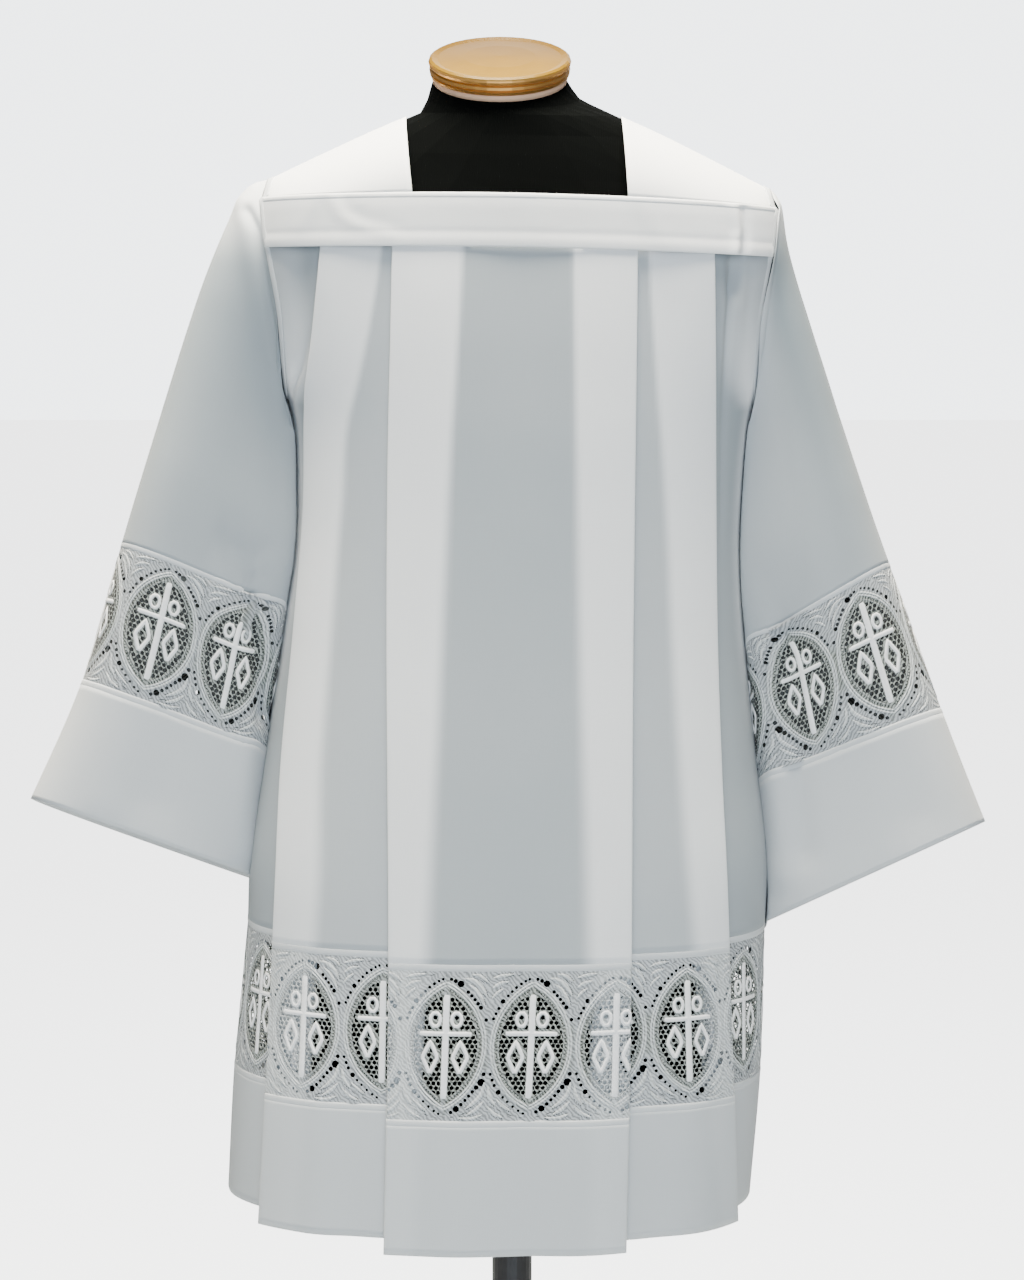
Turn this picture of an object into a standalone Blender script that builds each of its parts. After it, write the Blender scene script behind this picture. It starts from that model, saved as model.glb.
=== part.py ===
"""A pleated surplice with lace let into its skirt and sleeves, standing on a limbless dress form.

Metres, +Z up. The front faces -Y, the foot rests on the XY plane with its centre at the origin, and left and
right are as seen from the front. Every piece of cloth is a wall of even thickness about a middle surface.
"""

import math
from collections import namedtuple

import bmesh
import bpy
import numpy as np
from mathutils.geometry import delaunay_2d_cdt

# ---------- driving dimensions ----------
CLOTH = 0.0012  # thickness of the cotton cloth and of the lace
SEAM = 0.0004  # clear space between two pieces that are sewn together
HEM_LEVEL = 0.482
LACE_WIDTH = 0.129
HEM_BAND = 0.115
BODY_SQUARENESS = 2.4  # exponent of the body's outline seen from above, 2 being an ellipse
LACE_LOW = HEM_LEVEL + HEM_BAND
LACE_TOP = LACE_LOW + LACE_WIDTH

ARM_TOP = 1.3867  # height of the armhole's highest and lowest points, and half its depth front to back
ARM_LOW = 1.1964
ARM_DEPTH = 0.050

NECK_FRONT = {-1: 0.090, 1: 0.092}  # half width of the neck opening at the band and at the shoulder line
NECK_RIDGE = {-1: 0.097, 1: 0.088}
SHOULDER_FALL = 0.020  # how far both shoulders drop towards the right, per metre
FALL_FROM, FALL_TO = 0.90, 1.40  # heights between which that drop fades in

LACE_REPEAT = 0.0728
LACE_PHASE = 0.0245
MOTIF_WIDTH, MOTIF_HEIGHT = 0.069, 0.106
EYELET = 0.0026  # half width of the largest gaps of the lace

FORM_GAP = 0.0008  # clear space between the yoke and the form that carries it
CAP_TILT = math.radians(18.5)
CAP_CENTRE = (-0.0105, -0.004, 1.4964)
CAP_RADIUS, CAP_HEIGHT = 0.0617, 0.0165
STRIP_RADIUS, STRIP_HEIGHT = 0.0585, 0.005
FORM_BOTTOM = 0.575
POLE_RADIUS = 0.0175
FOOT_RADIUS, FOOT_HEIGHT = 0.19, 0.030

# ---------- tables ----------
# The body, seen from above, at each level: height at the centre line, how far its ends droop below that, centre,
# half width, depth to the front and back, the four pleat folds (x), and the radius that the cloth turns at a fold.
Ring = namedtuple("Ring", "height droop centre half front back outer_l inner_l inner_r outer_r turn")
BODY = (
    Ring(1.3800, 0.0093, 0.006, 0.2240, 0.1060, 0.0990, -0.160, -0.100, 0.106, 0.171, 0.00105),
    Ring(1.3389, 0.0059, 0.006, 0.2275, 0.1110, 0.1040, -0.1625, -0.101, 0.106, 0.1718, 0.00105),
    Ring(1.2700, 0.0, 0.006, 0.2170, 0.1170, 0.1080, -0.1700, -0.1025, 0.1055, 0.1730, 0.00115),
    Ring(1.2150, 0.0, 0.007, 0.2060, 0.1200, 0.1085, -0.1765, -0.1040, 0.1050, 0.1738, 0.00125),
    Ring(ARM_LOW, 0.0, 0.0075, 0.2015, 0.1210, 0.1090, -0.1780, -0.1045, 0.1048, 0.1740, 0.00125),
    Ring(1.1100, 0.0, 0.006, 0.1945, 0.1240, 0.1100, -0.1800, -0.1060, 0.1040, 0.1750, 0.00135),
    Ring(1.0000, 0.0, 0.002, 0.2010, 0.1300, 0.1140, -0.1890, -0.1066, 0.1030, 0.1765, 0.00145),
    Ring(0.8800, 0.0, -0.001, 0.2150, 0.1400, 0.1230, -0.2000, -0.1058, 0.1024, 0.1805, 0.00160),
    Ring(0.7790, 0.0, -0.003, 0.2270, 0.1480, 0.1310, -0.2045, -0.1052, 0.1020, 0.1855, 0.00175),
    Ring(LACE_TOP, 0.0, -0.005, 0.2270, 0.1520, 0.1350, -0.2070, -0.1052, 0.1018, 0.1875, 0.00180),
    Ring(LACE_LOW, 0.0, -0.012, 0.2310, 0.1620, 0.1440, -0.2135, -0.1070, 0.1000, 0.1925, 0.00195),
    Ring(HEM_LEVEL, 0.0, -0.019, 0.2290, 0.1680, 0.1500, -0.2200, -0.1096, 0.0977, 0.1970, 0.00210),
)
UNDERLAY = {"outer_l": 0.055, "inner_l": 0.049, "inner_r": 0.046, "outer_r": 0.050}  # width folded under

# The shoulder line: distance from the centre, and height.
Ridge = namedtuple("Ridge", "across height")
SHOULDER = (Ridge(0.085, 1.4485), Ridge(0.125, 1.4310), Ridge(0.160, 1.4143), Ridge(0.2163, ARM_TOP))

# Each sleeve below its armhole: where its outer edge lies (x, z), the height of its inner edge, which rests against
# the body, how far back that edge is, and how far the tube swells in front of and behind the line between them.
Cuff = namedtuple("Cuff", "outer_x outer_z inner_z inner_y front back")
SLEEVE = {
    -1: (
        Cuff(0.2353, 1.3694, 1.1680, 0.015, 0.053, 0.053),
        Cuff(0.2705, 1.2874, 1.1120, 0.040, 0.064, 0.060),
        Cuff(0.3150, 1.1470, 1.0540, 0.055, 0.080, 0.078),
        Cuff(0.3396, 1.0687, 0.9961, 0.060, 0.085, 0.084),
        Cuff(0.3748, 0.9531, 0.8760, 0.062, 0.088, 0.090),
        Cuff(0.4205, 0.8503, 0.7657, 0.062, 0.092, 0.096),
    ),
    1: (
        Cuff(0.2320, 1.3640, 1.1680, 0.015, 0.053, 0.053),
        Cuff(0.2496, 1.2961, 1.1040, 0.040, 0.064, 0.060),
        Cuff(0.3029, 1.1311, 1.0310, 0.055, 0.080, 0.078),
        Cuff(0.3290, 1.0555, 0.9618, 0.060, 0.085, 0.084),
        Cuff(0.3746, 0.9288, 0.8486, 0.062, 0.088, 0.090),
        Cuff(0.4137, 0.8302, 0.7228, 0.062, 0.092, 0.096),
    ),
}
SLEEVE_SQUARENESS = 2.5  # exponent of the tube's oval, away from the armhole
SLEEVE_LIFT = 0.2  # how much higher the tube's front hangs there, per metre in front of its middle
LACE_RING, LACE_END, CUFF_END = 4, 5, 6  # places of the lace's edges and the cuff's hem in a sleeve's rings
SLEEVE_REST = 0.0042  # from the middle of the sleeve's wall to that of the body's, where they lie side by side

# The dress form, seen from above: height, centre, half width, depth to the front and back, tilt to the front, and
# the exponent of its oval, 2 being an ellipse.
Form = namedtuple("Form", "height centre half front back tilt square")
TORSO = (
    Form(FORM_BOTTOM, -0.006, 0.196, 0.126, 0.114, 0.0, 2.3),
    Form(0.590, -0.006, 0.199, 0.129, 0.117, 0.0, 2.3),
    Form(0.720, -0.003, 0.197, 0.128, 0.118, 0.0, 2.3),
    Form(0.860, 0.000, 0.188, 0.120, 0.112, 0.0, 2.3),
    Form(0.980, 0.002, 0.166, 0.106, 0.096, 0.0, 2.3),
    Form(1.090, 0.004, 0.160, 0.101, 0.090, 0.0, 2.3),
    Form(1.200, 0.005, 0.172, 0.108, 0.095, 0.0, 2.3),
    Form(1.290, 0.005, 0.189, 0.105, 0.096, 0.0, 2.3),
    Form(1.350, 0.005, 0.200, 0.098, 0.090, 0.0, 2.3),
    Form(1.378, 0.005, 0.2035, 0.091, 0.085, 0.0, 2.3),
)
NECK_BELOW = CAP_HEIGHT + STRIP_HEIGHT + 2 * SEAM  # from the cap's top to the covered neck, square to the tilt
NECK_TOP = CAP_CENTRE[2] - (NECK_BELOW + CAP_CENTRE[1] * math.sin(CAP_TILT)) / math.cos(CAP_TILT)
NECK = (
    Form(1.460, -0.007, 0.066, 0.056, 0.054, 0.45 * CAP_TILT, 2.0),
    Form(NECK_TOP, CAP_CENTRE[0], 0.0585, 0.0585, 0.0585, CAP_TILT, 2.0),
)


# ---------- reading the tables ----------
def at_height(field, height):
    """A column of the body's table at any height."""
    rings = BODY[::-1]
    return float(np.interp(height, [r.height - r.droop for r in rings], [getattr(r, field) for r in rings]))


def ridge_height(across):
    """Height of the shoulder line at a distance from the centre."""
    return float(np.interp(across, [r.across for r in SHOULDER], [r.height for r in SHOULDER]))


def armhole_depth(height):
    """How far the armhole's edge lies in front of and behind the shoulder line."""
    middle, reach = (ARM_TOP + ARM_LOW) / 2, (ARM_TOP - ARM_LOW) / 2
    return ARM_DEPTH * math.sqrt(max(0.0, 1 - ((height - middle) / reach) ** 2))


def fallen(points):
    """The points with the upper part let down towards the right shoulder."""
    points = np.array(points, float)
    share = np.clip((points[..., 2] - FALL_FROM) / (FALL_TO - FALL_FROM), 0, 1)
    points[..., 2] -= SHOULDER_FALL * points[..., 0] * share * share * (3 - 2 * share)
    return points


# ---------- the body's outline ----------
class Outline:
    """Half of the body's outline at one height, read by the distance along it from its middle."""

    def __init__(self, height, face):
        """face is -1 for the front and 1 for the back."""
        self.face = face
        self.centre = at_height("centre", height)
        half, deep = at_height("half", height), at_height("front" if face < 0 else "back", height)
        end = max(armhole_depth(height), 0.7 * SEAM)
        widest = math.acos((end / deep) ** (BODY_SQUARENESS / 2))
        angle = np.linspace(-widest, widest, 721)
        power = 2 / BODY_SQUARENESS
        self.x = self.centre + half * np.sign(angle) * np.abs(np.sin(angle)) ** power
        self.y = face * deep * np.abs(np.cos(angle)) ** power
        steps = np.hypot(np.diff(self.x), np.diff(self.y))
        self.along = np.concatenate(([0.0], np.cumsum(steps)))
        self.along -= np.interp(self.centre, self.x, self.along)

    def place(self, x):
        """Distance along the outline at this x."""
        return float(np.interp(x, self.x, self.along))

    def point(self, along, depth=0.0):
        """The point at a distance along the outline, moved inwards by a depth."""
        x = np.interp(along, self.along, self.x)
        y = np.interp(along, self.along, self.y)
        step = 0.0008
        before, after = max(along - step, self.along[0]), min(along + step, self.along[-1])
        dx = np.interp(after, self.along, self.x) - np.interp(before, self.along, self.x)
        dy = np.interp(after, self.along, self.y) - np.interp(before, self.along, self.y)
        length = math.hypot(dx, dy)
        # The outline runs left to right, so its outer side is on the right at the front and the left at the back.
        outward = (-self.face * dy / length, self.face * dx / length)
        return np.array((x - outward[0] * depth, y - outward[1] * depth))


def armhole_x(height, side, face):
    """Where the armhole's edge lies at a height, x."""
    outline = Outline(height, face)
    return outline.x[-1] if side > 0 else outline.x[0]


def body_side(y, height, side):
    """How far out to one side the body reaches at this depth and height, x times side."""
    deep = at_height("front" if y < 0 else "back", height)
    share = max(0.0, 1 - abs(y / deep) ** BODY_SQUARENESS) ** (1 / BODY_SQUARENESS)
    return side * at_height("centre", height) + at_height("half", height) * share


# ---------- pleats ----------
def half_section(folds, end, turn):
    """Cloth from the middle of the box panel to one side seam, as (distance along, depth) pairs.

    folds holds (place of the fold, width folded under), middle first. Behind each fold the cloth goes back towards
    the middle and out again, so it is three layers deep there. The next layer starts at that depth and rises to
    the surface at its own fold, as roof tiles do.
    """
    stations = [(0.0, 0.0)]
    before, sunk = 0.0, 0.0
    for place, under in folds:
        def rise(along):
            return sunk * (place - along) / (place - before)
        root, middle = place - under, place - under / 2
        stations += [(root, rise(root)), (middle, rise(middle))]
        stations += [(place - turn, 0.0), (place, turn), (place - turn, 2 * turn)]
        stations += [(middle, rise(middle) + 2 * turn)]
        stations += [(root + turn, rise(root) + 2 * turn), (root, rise(root) + 3 * turn)]
        stations += [(root + turn, rise(root) + 4 * turn), (middle, rise(middle) + 4 * turn)]
        stations += [(place, 4 * turn)]
        before, sunk = place, 4 * turn
    for share in (0.2, 0.4, 0.6, 0.8, 1.0):
        stations.append((before + (end - before) * share, sunk * (1 - share)))
    return stations


def pleated_section(ring_height, face):
    """Both halves of one section of a pleated panel: its points from left to right, z left out."""
    outline = Outline(ring_height, face)
    turn = at_height("turn", ring_height)
    halves = {}
    for side, names in ((-1, ("inner_l", "outer_l")), (1, ("inner_r", "outer_r"))):
        folds = [(side * outline.place(at_height(name, ring_height)), UNDERLAY[name]) for name in names]
        stations = half_section(folds, side * outline.along[-1 if side > 0 else 0], turn)
        halves[side] = [(side * along, depth) for along, depth in stations]
    stations = halves[-1][:0:-1] + halves[1]
    return outline, stations


def offset_line(line, distance):
    """A plan line moved sideways to its left by a distance, with mitred corners."""
    line = np.asarray(line)
    steps = np.diff(line, axis=0)
    sides = np.stack((-steps[:, 1], steps[:, 0]), 1) / np.linalg.norm(steps, axis=1)[:, None]
    before, after = np.vstack((sides[:1], sides)), np.vstack((sides, sides[-1:]))
    corner = before + after
    corner /= np.maximum(1 + np.sum(before * after, 1), 0.3)[:, None]
    return line + corner * distance


def skirt_row(height, face, droop=0.0, pleats=True, columns=22):
    """One level of a body piece: its outer and inner points, its length along the cloth, and the distances along
    the outline that its points lie at."""
    end_height = height - droop
    if pleats:
        outline, stations = pleated_section(end_height, face)
    else:
        outline = Outline(end_height, face)
        ends = outline.along[0], outline.along[-1]
        stations = [(along, 0.0) for along in np.linspace(*ends, columns)]
    line = np.array([outline.point(*station) for station in stations])
    along = np.array([station[0] for station in stations])
    reach = np.where(along < 0, -outline.along[0], outline.along[-1])
    z = height - droop * (along / reach) ** 2
    cloth = np.concatenate(([0.0], np.cumsum(np.linalg.norm(np.diff(line, axis=0), axis=1))))
    # Left of the direction of travel is the back, so the front's outer side is its right.
    outward = face * CLOTH / 2
    outer, inner = (np.column_stack((offset_line(line, d), z)) for d in (outward, -outward))
    return outer, inner, cloth - cloth[len(cloth) // 2], along


# ---------- meshes ----------
def material(name, colour, roughness, metallic=0.0):
    made = bpy.data.materials.get(name) or bpy.data.materials.new(name)
    made.use_nodes = True
    shader = made.node_tree.nodes["Principled BSDF"]
    shader.inputs["Base Color"].default_value = (*colour, 1.0)
    shader.inputs["Roughness"].default_value = roughness
    shader.inputs["Metallic"].default_value = metallic
    made.diffuse_color = (*colour, 1.0)
    return made


def add_object(name, bm, finish, smooth=40):
    """Put a finished bmesh in the scene, with its faces turned outwards."""
    bmesh.ops.recalc_face_normals(bm, faces=bm.faces)
    if bm.calc_volume(signed=True) < 0:
        bmesh.ops.reverse_faces(bm, faces=bm.faces)
    mesh = bpy.data.meshes.new(name)
    bm.to_mesh(mesh)
    bm.free()
    mesh.shade_smooth()
    mesh.set_sharp_from_angle(angle=math.radians(smooth))
    mesh.materials.append(finish)
    made = bpy.data.objects.new(name, mesh)
    bpy.context.scene.collection.objects.link(made)
    return made


def wall(name, outer, inner, finish, closed=False, along=None):
    """A cloth wall between two grids of points (rows by columns), its rims filled. closed joins the columns.

    Where layers lie on each other, along tells their common places, so that all are divided the same way.
    """
    rows, columns = outer.shape[:2]
    back_way = [along is not None and abs(along[j + 1]) < abs(along[j]) for j in range(columns - 1)] + [False]
    bm = bmesh.new()
    sheets = [[[bm.verts.new(p) for p in row] for row in fallen(grid)] for grid in (outer, inner)]
    last = columns if closed else columns - 1
    for sheet in sheets:
        for i in range(rows - 1):
            for j in range(last):
                k = (j + 1) % columns
                corners = [sheet[i][j], sheet[i][k], sheet[i + 1][k], sheet[i + 1][j]]
                # A face is divided between its first and third corners.
                bm.faces.new(corners[1:] + corners[:1] if back_way[j] else corners)
    out, back = sheets
    for i in (0, rows - 1):
        for j in range(last):
            k = (j + 1) % columns
            bm.faces.new((out[i][j], out[i][k], back[i][k], back[i][j]))
    if not closed:
        for j in (0, columns - 1):
            for i in range(rows - 1):
                bm.faces.new((out[i][j], out[i + 1][j], back[i + 1][j], back[i][j]))
    return add_object(name, bm, finish)


def inside(point, ring):
    """Whether a flat point lies in a closed ring of flat points."""
    x, y = point
    hit = False
    for (ax, ay), (bx, by) in zip(ring, ring[1:] + ring[:1]):
        if (ay > y) != (by > y) and x < (bx - ax) * (y - ay) / (by - ay) + ax:
            hit = not hit
    return hit


def cut_wall(name, outer, inner, across, up, holes, finish):
    """A cloth wall with holes cut through it.

    across and up give the grid's columns and rows as flat distances, and each hole is a ring in those distances.
    The flat cloth is divided along its rows, columns and holes, and each corner is then put on the wall's two sides.
    """
    corners, edges = [], []

    def add_path(path, close=False):
        first = len(corners)
        corners.extend(path)
        edges.extend((first + i, first + i + 1) for i in range(len(path) - 1))
        if close:
            edges.append((first + len(path) - 1, first))

    for row in up:
        add_path([(column, row) for column in across])
    for column in across:
        add_path([(column, row) for row in up])
    for hole in holes:
        add_path(hole, close=True)
    flat, _, faces, *_ = delaunay_2d_cdt(corners, edges, [], 0, 1e-7)
    kept = []
    for face in faces:
        centre = tuple(sum(flat[i][axis] for i in face) / 3 for axis in (0, 1))
        near = [hole for hole in holes if abs(hole[0][0] - centre[0]) < 0.02]
        if not any(inside(centre, hole) for hole in near):
            kept.append(face)

    def placed(grid):
        points = []
        for x, y in flat:
            j = min(max(int(np.searchsorted(across, x)) - 1, 0), len(across) - 2)
            i = min(max(int(np.searchsorted(up, y)) - 1, 0), len(up) - 2)
            a = (x - across[j]) / (across[j + 1] - across[j])
            b = (y - up[i]) / (up[i + 1] - up[i])
            low = grid[i][j] * (1 - a) + grid[i][j + 1] * a
            high = grid[i + 1][j] * (1 - a) + grid[i + 1][j + 1] * a
            points.append(low * (1 - b) + high * b)
        return fallen(points)

    bm = bmesh.new()
    used = sorted({i for face in kept for i in face})
    out, back = ({i: bm.verts.new(points[i]) for i in used} for points in (placed(outer), placed(inner)))
    sides = {}
    for a, b, c in kept:
        bm.faces.new((out[a], out[b], out[c]))
        bm.faces.new((back[c], back[b], back[a]))
        for edge in ((a, b), (b, c), (c, a)):
            sides[edge] = True
    for a, b in sides:
        if (b, a) not in sides:
            bm.faces.new((out[b], out[a], back[a], back[b]))
    return add_object(name, bm, finish)


# ---------- the skirt ----------
def skirt_grid(heights, face, **options):
    """Rows of a body piece from the lowest height to the highest."""
    rows = [skirt_row(height, face, **options) for height in heights]
    outer, inner, cloth, along = (np.array(part) for part in zip(*rows))
    return outer, inner, cloth.mean(axis=0), along[0]


def lace_holes(across, up, folds):
    """The largest gaps of each repeat: one in each corner outside the motif, where the net is most open.

    folds are places along the cloth that turn sharply: a gap that would meet one is left out.
    """
    holes = []
    middle = (up[0] + up[-1]) / 2
    first = math.ceil((across[0] - LACE_PHASE) / LACE_REPEAT)
    for repeat in range(first - 1, int((across[-1] - LACE_PHASE) / LACE_REPEAT) + 2):
        centre = LACE_PHASE + repeat * LACE_REPEAT
        for side in (-1, 1):
            for level in (-1, 1):
                x = centre + side * MOTIF_WIDTH * 0.43
                y = middle + level * MOTIF_HEIGHT * 0.255
                lean = -side * level * 0.45
                ring = []
                for corner in range(6):
                    turn = math.tau * corner / 6
                    a, b = EYELET * math.cos(turn), 1.25 * EYELET * math.sin(turn)
                    ring.append((x + a * math.cos(lean) - b * math.sin(lean),
                                 y + a * math.sin(lean) + b * math.cos(lean)))
                clear = 0.0015
                left, right = min(p[0] for p in ring) - clear, max(p[0] for p in ring) + clear
                if left > across[0] and right < across[-1] and not any(left < f < right for f in folds):
                    holes.append(ring)
    return holes


def sharp_places(line, across):
    """Places along a section where the cloth turns sharply."""
    steps = np.diff(np.asarray(line)[:, :2], axis=0)
    steps /= np.linalg.norm(steps, axis=1)[:, None]
    turns = np.sum(steps[:-1] * steps[1:], axis=1)
    return [across[i + 1] for i, cosine in enumerate(turns) if cosine < 0.9]


def make_skirt(face, where, cloth, lace):
    """The pleated panel, its lace and its hem band, for the front or the back."""
    heights = [r.height - r.droop for r in BODY[1:-2]][::-1]
    drooped = BODY[1]
    heights[0] += SEAM
    rows = [skirt_row(h, face) for h in heights[:-1]]
    rows.append(skirt_row(drooped.height - SEAM, face, droop=drooped.droop))
    outer, inner, _, along = (np.array(part) for part in zip(*rows))
    wall(where + "_panel", outer, inner, cloth, along=along[0])

    outer, inner, across, _ = skirt_grid((LACE_LOW, LACE_TOP), face)
    up = np.array((0.0, LACE_WIDTH))
    holes = lace_holes(across, up, sharp_places(outer[0], across))
    cut_wall("hem_lace_" + where, outer, inner, across, up, holes, lace)

    outer, inner, _, along = skirt_grid((HEM_LEVEL, LACE_LOW - SEAM), face)
    wall("hem_band_" + where, outer, inner, cloth, along=along)


# ---------- the yoke ----------
def make_band(face, where, cloth):
    """The level band between the shoulder pieces and the pleats."""
    low = skirt_row(BODY[1].height, face, droop=BODY[1].droop, pleats=False)
    high = skirt_row(BODY[0].height, face, droop=BODY[0].droop, pleats=False)
    wall("yoke_band_" + where, np.array((low[0], high[0])), np.array((low[1], high[1])), cloth)


def band_top(x, face):
    """The middle of the band's top edge at this x."""
    ring = BODY[0]
    outline = Outline(ring.height - ring.droop, face)
    along = outline.place(x)
    reach = outline.along[-1] if along > 0 else -outline.along[0]
    return np.array((*outline.point(along), ring.height - ring.droop * (along / reach) ** 2))


def shoulder_surface(side, ridge, steps=10):
    """An arch of the shoulder piece from the front band over the shoulder line to the back band.

    ridge is where it crosses the shoulder line. At the armhole the arch is the top of the armhole's oval.
    """
    centre = BODY[0].centre
    across = (ridge - NECK_RIDGE[side]) / (SHOULDER[-1].across - NECK_RIDGE[side])
    front_x = side * NECK_FRONT[side] + centre
    top = np.array((centre + side * ridge, 0.0, ridge_height(ridge)))
    middle, reach = (ARM_TOP + ARM_LOW) / 2, (ARM_TOP - ARM_LOW) / 2
    arm_start = math.asin((BODY[0].height - BODY[0].droop - middle) / reach)
    start = math.radians(8) + (arm_start - math.radians(8)) * across ** 2
    points = []
    for step in range(steps + 1):
        share = abs(1 - 2 * step / steps)  # 1 at a band, 0 at the shoulder line
        face = -1 if step < steps / 2 else 1
        arm_x = armhole_x(BODY[0].height - BODY[0].droop, side, face)
        foot = band_top(front_x + (arm_x - front_x) * across, face)
        foot[2] += SEAM
        angle = math.pi / 2 - (math.pi / 2 - start) * share
        rise = (math.sin(angle) - math.sin(start)) / (1 - math.sin(start))
        out = math.cos(angle) / math.cos(start)
        points.append((foot[0] + (top[0] - foot[0]) * rise, foot[1] * out,
                       foot[2] + (top[2] - foot[2]) * rise))
    return np.array(points)


def surface_normals(grid, closed=False):
    """Unit normals of a grid of points."""
    if closed:
        round_it = np.roll(grid, -1, axis=1) - np.roll(grid, 1, axis=1)
    else:
        round_it = np.gradient(grid, axis=1)
    normal = np.cross(np.gradient(grid, axis=0), round_it)
    return normal / np.linalg.norm(normal, axis=2)[..., None]


def thicken(grid, normal):
    return grid + normal * CLOTH / 2, grid - normal * CLOTH / 2


def make_shoulder(side, where, cloth):
    knots = [NECK_RIDGE[side]] + [r.across for r in SHOULDER if r.across > NECK_RIDGE[side]]
    places = sorted(knots + [(a + b) / 2 for a, b in zip(knots, knots[1:])])
    grid = np.array([shoulder_surface(side, ridge) for ridge in places])
    normal = surface_normals(grid) * -side
    normal *= np.sign(normal[..., 2].mean())
    normal[:, (0, -1), 2] = 0  # level at the bands, whose walls are upright
    normal /= np.linalg.norm(normal, axis=2)[..., None]
    wall("yoke_shoulder_" + where, *thicken(grid, normal), cloth)


# ---------- the sleeves ----------
SLEEVE_COLUMNS = 28


def sleeve_rings(side):
    """Table rows of a sleeve as numbers, armhole first."""
    first = Cuff(side * armhole_x(ARM_TOP, side, -1), ARM_TOP, ARM_LOW, 0.0, ARM_DEPTH, ARM_DEPTH)
    return np.array((first, *SLEEVE[side]), float)


def read_smooth(rows, place):
    """A row between the rows of a table, on a smooth curve through them."""
    i = min(int(place), len(rows) - 2)
    t = place - i
    before, after = rows[max(i - 1, 0)], rows[min(i + 2, len(rows) - 1)]
    a, b = rows[i], rows[i + 1]
    ta, tb = (b - before) / 2, (after - a) / 2
    return ((2 * t**3 - 3 * t**2 + 1) * a + (t**3 - 2 * t**2 + t) * ta
            + (3 * t**2 - 2 * t**3) * b + (t**3 - t**2) * tb)


def oval_ring(side, place):
    """The ring of a sleeve at a place between its table rows, starting at its outer edge and going by the front."""
    outer_x, outer_z, inner_z, inner_y, front, back = read_smooth(sleeve_rings(side), place)
    outer = np.array((side * outer_x, 0.0, outer_z))
    inner = np.array((side * (body_side(inner_y, inner_z, side) + SLEEVE_REST), inner_y, inner_z))
    points = []
    grown = min(place / 3, 1)
    power = 2 / (2 + (SLEEVE_SQUARENESS - 2) * grown)
    for column in range(SLEEVE_COLUMNS):
        angle = math.tau * column / SLEEVE_COLUMNS
        out = math.copysign(abs(math.cos(angle)) ** power, math.cos(angle))
        ahead = math.copysign(abs(math.sin(angle)) ** power, math.sin(angle)) * (front if angle < math.pi else back)
        point = (outer + inner) / 2 + (outer - inner) / 2 * out
        point += (0.0, -ahead, SLEEVE_LIFT * grown * ahead)
        if point[2] < ARM_LOW:
            point[0] = side * max(side * point[0], body_side(point[1], point[2], side) + SLEEVE_REST)
        points.append(point)
    return np.array(points)


def armhole_edge(side):
    """The body's edge round an armhole, by angle from its top, going by the front."""
    middle, reach = (ARM_TOP + ARM_LOW) / 2, (ARM_TOP - ARM_LOW) / 2
    arch = shoulder_surface(side, SHOULDER[-1].across)
    knots = [point for point in arch[1:-1]]
    for face in (-1, 1):
        for ring in BODY[:5]:
            height = ring.height - ring.droop
            knots.append((armhole_x(height, side, face), face * armhole_depth(height), height))
    angles = [math.atan2(-y / ARM_DEPTH, (z - middle) / reach) % math.tau for x, y, z in knots]
    order = np.argsort(angles)
    angles, knots = np.array(angles)[order], np.array(knots)[order]
    return (np.concatenate((angles - math.tau, angles, angles + math.tau)), np.concatenate((knots,) * 3))


def armhole_ring(side):
    """The first ring of a sleeve and its normals: the armhole's edge, moved out until it clears the body's walls."""
    angles, knots = armhole_edge(side)
    turn = math.tau * np.arange(SLEEVE_COLUMNS) / SLEEVE_COLUMNS
    points = np.column_stack([np.interp(turn, angles, knots[:, axis]) for axis in range(3)])
    upper = points[:, 2] > BODY[0].height - BODY[0].droop
    points[:, 0] += side * (1.6 * SEAM + CLOTH / 2 * np.where(upper, 0.45, 1.2))
    reach = (ARM_TOP - ARM_LOW) / 2
    normals = np.column_stack((np.zeros(SLEEVE_COLUMNS), -np.sin(turn) / ARM_DEPTH, np.cos(turn) / reach))
    return points, normals / np.linalg.norm(normals, axis=1)[:, None]


def sleeve_ring(side, place):
    """A ring of the sleeve, which takes over the armhole's own shape near its top."""
    ring = oval_ring(side, place)
    if place < 1:
        ring += (armhole_ring(side)[0] - oval_ring(side, 0)) * (1 - place) ** 2
    return ring


def sleeve_grid(side, places, from_armhole=False):
    """A stretch of a sleeve as the outer and inner points of its wall."""
    grid = np.array([sleeve_ring(side, place) for place in places])
    near = np.array([[sleeve_ring(side, max(p - 0.02, 0)) for p in places],
                     [sleeve_ring(side, min(p + 0.02, CUFF_END)) for p in places]])
    down = near[1] - near[0]
    round_it = np.roll(grid, -1, axis=1) - np.roll(grid, 1, axis=1)
    normal = np.cross(down, round_it) * -side
    normal /= np.linalg.norm(normal, axis=2)[..., None]
    if from_armhole:
        normal[0] = armhole_ring(side)[1]
    return thicken(grid, normal)


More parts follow.
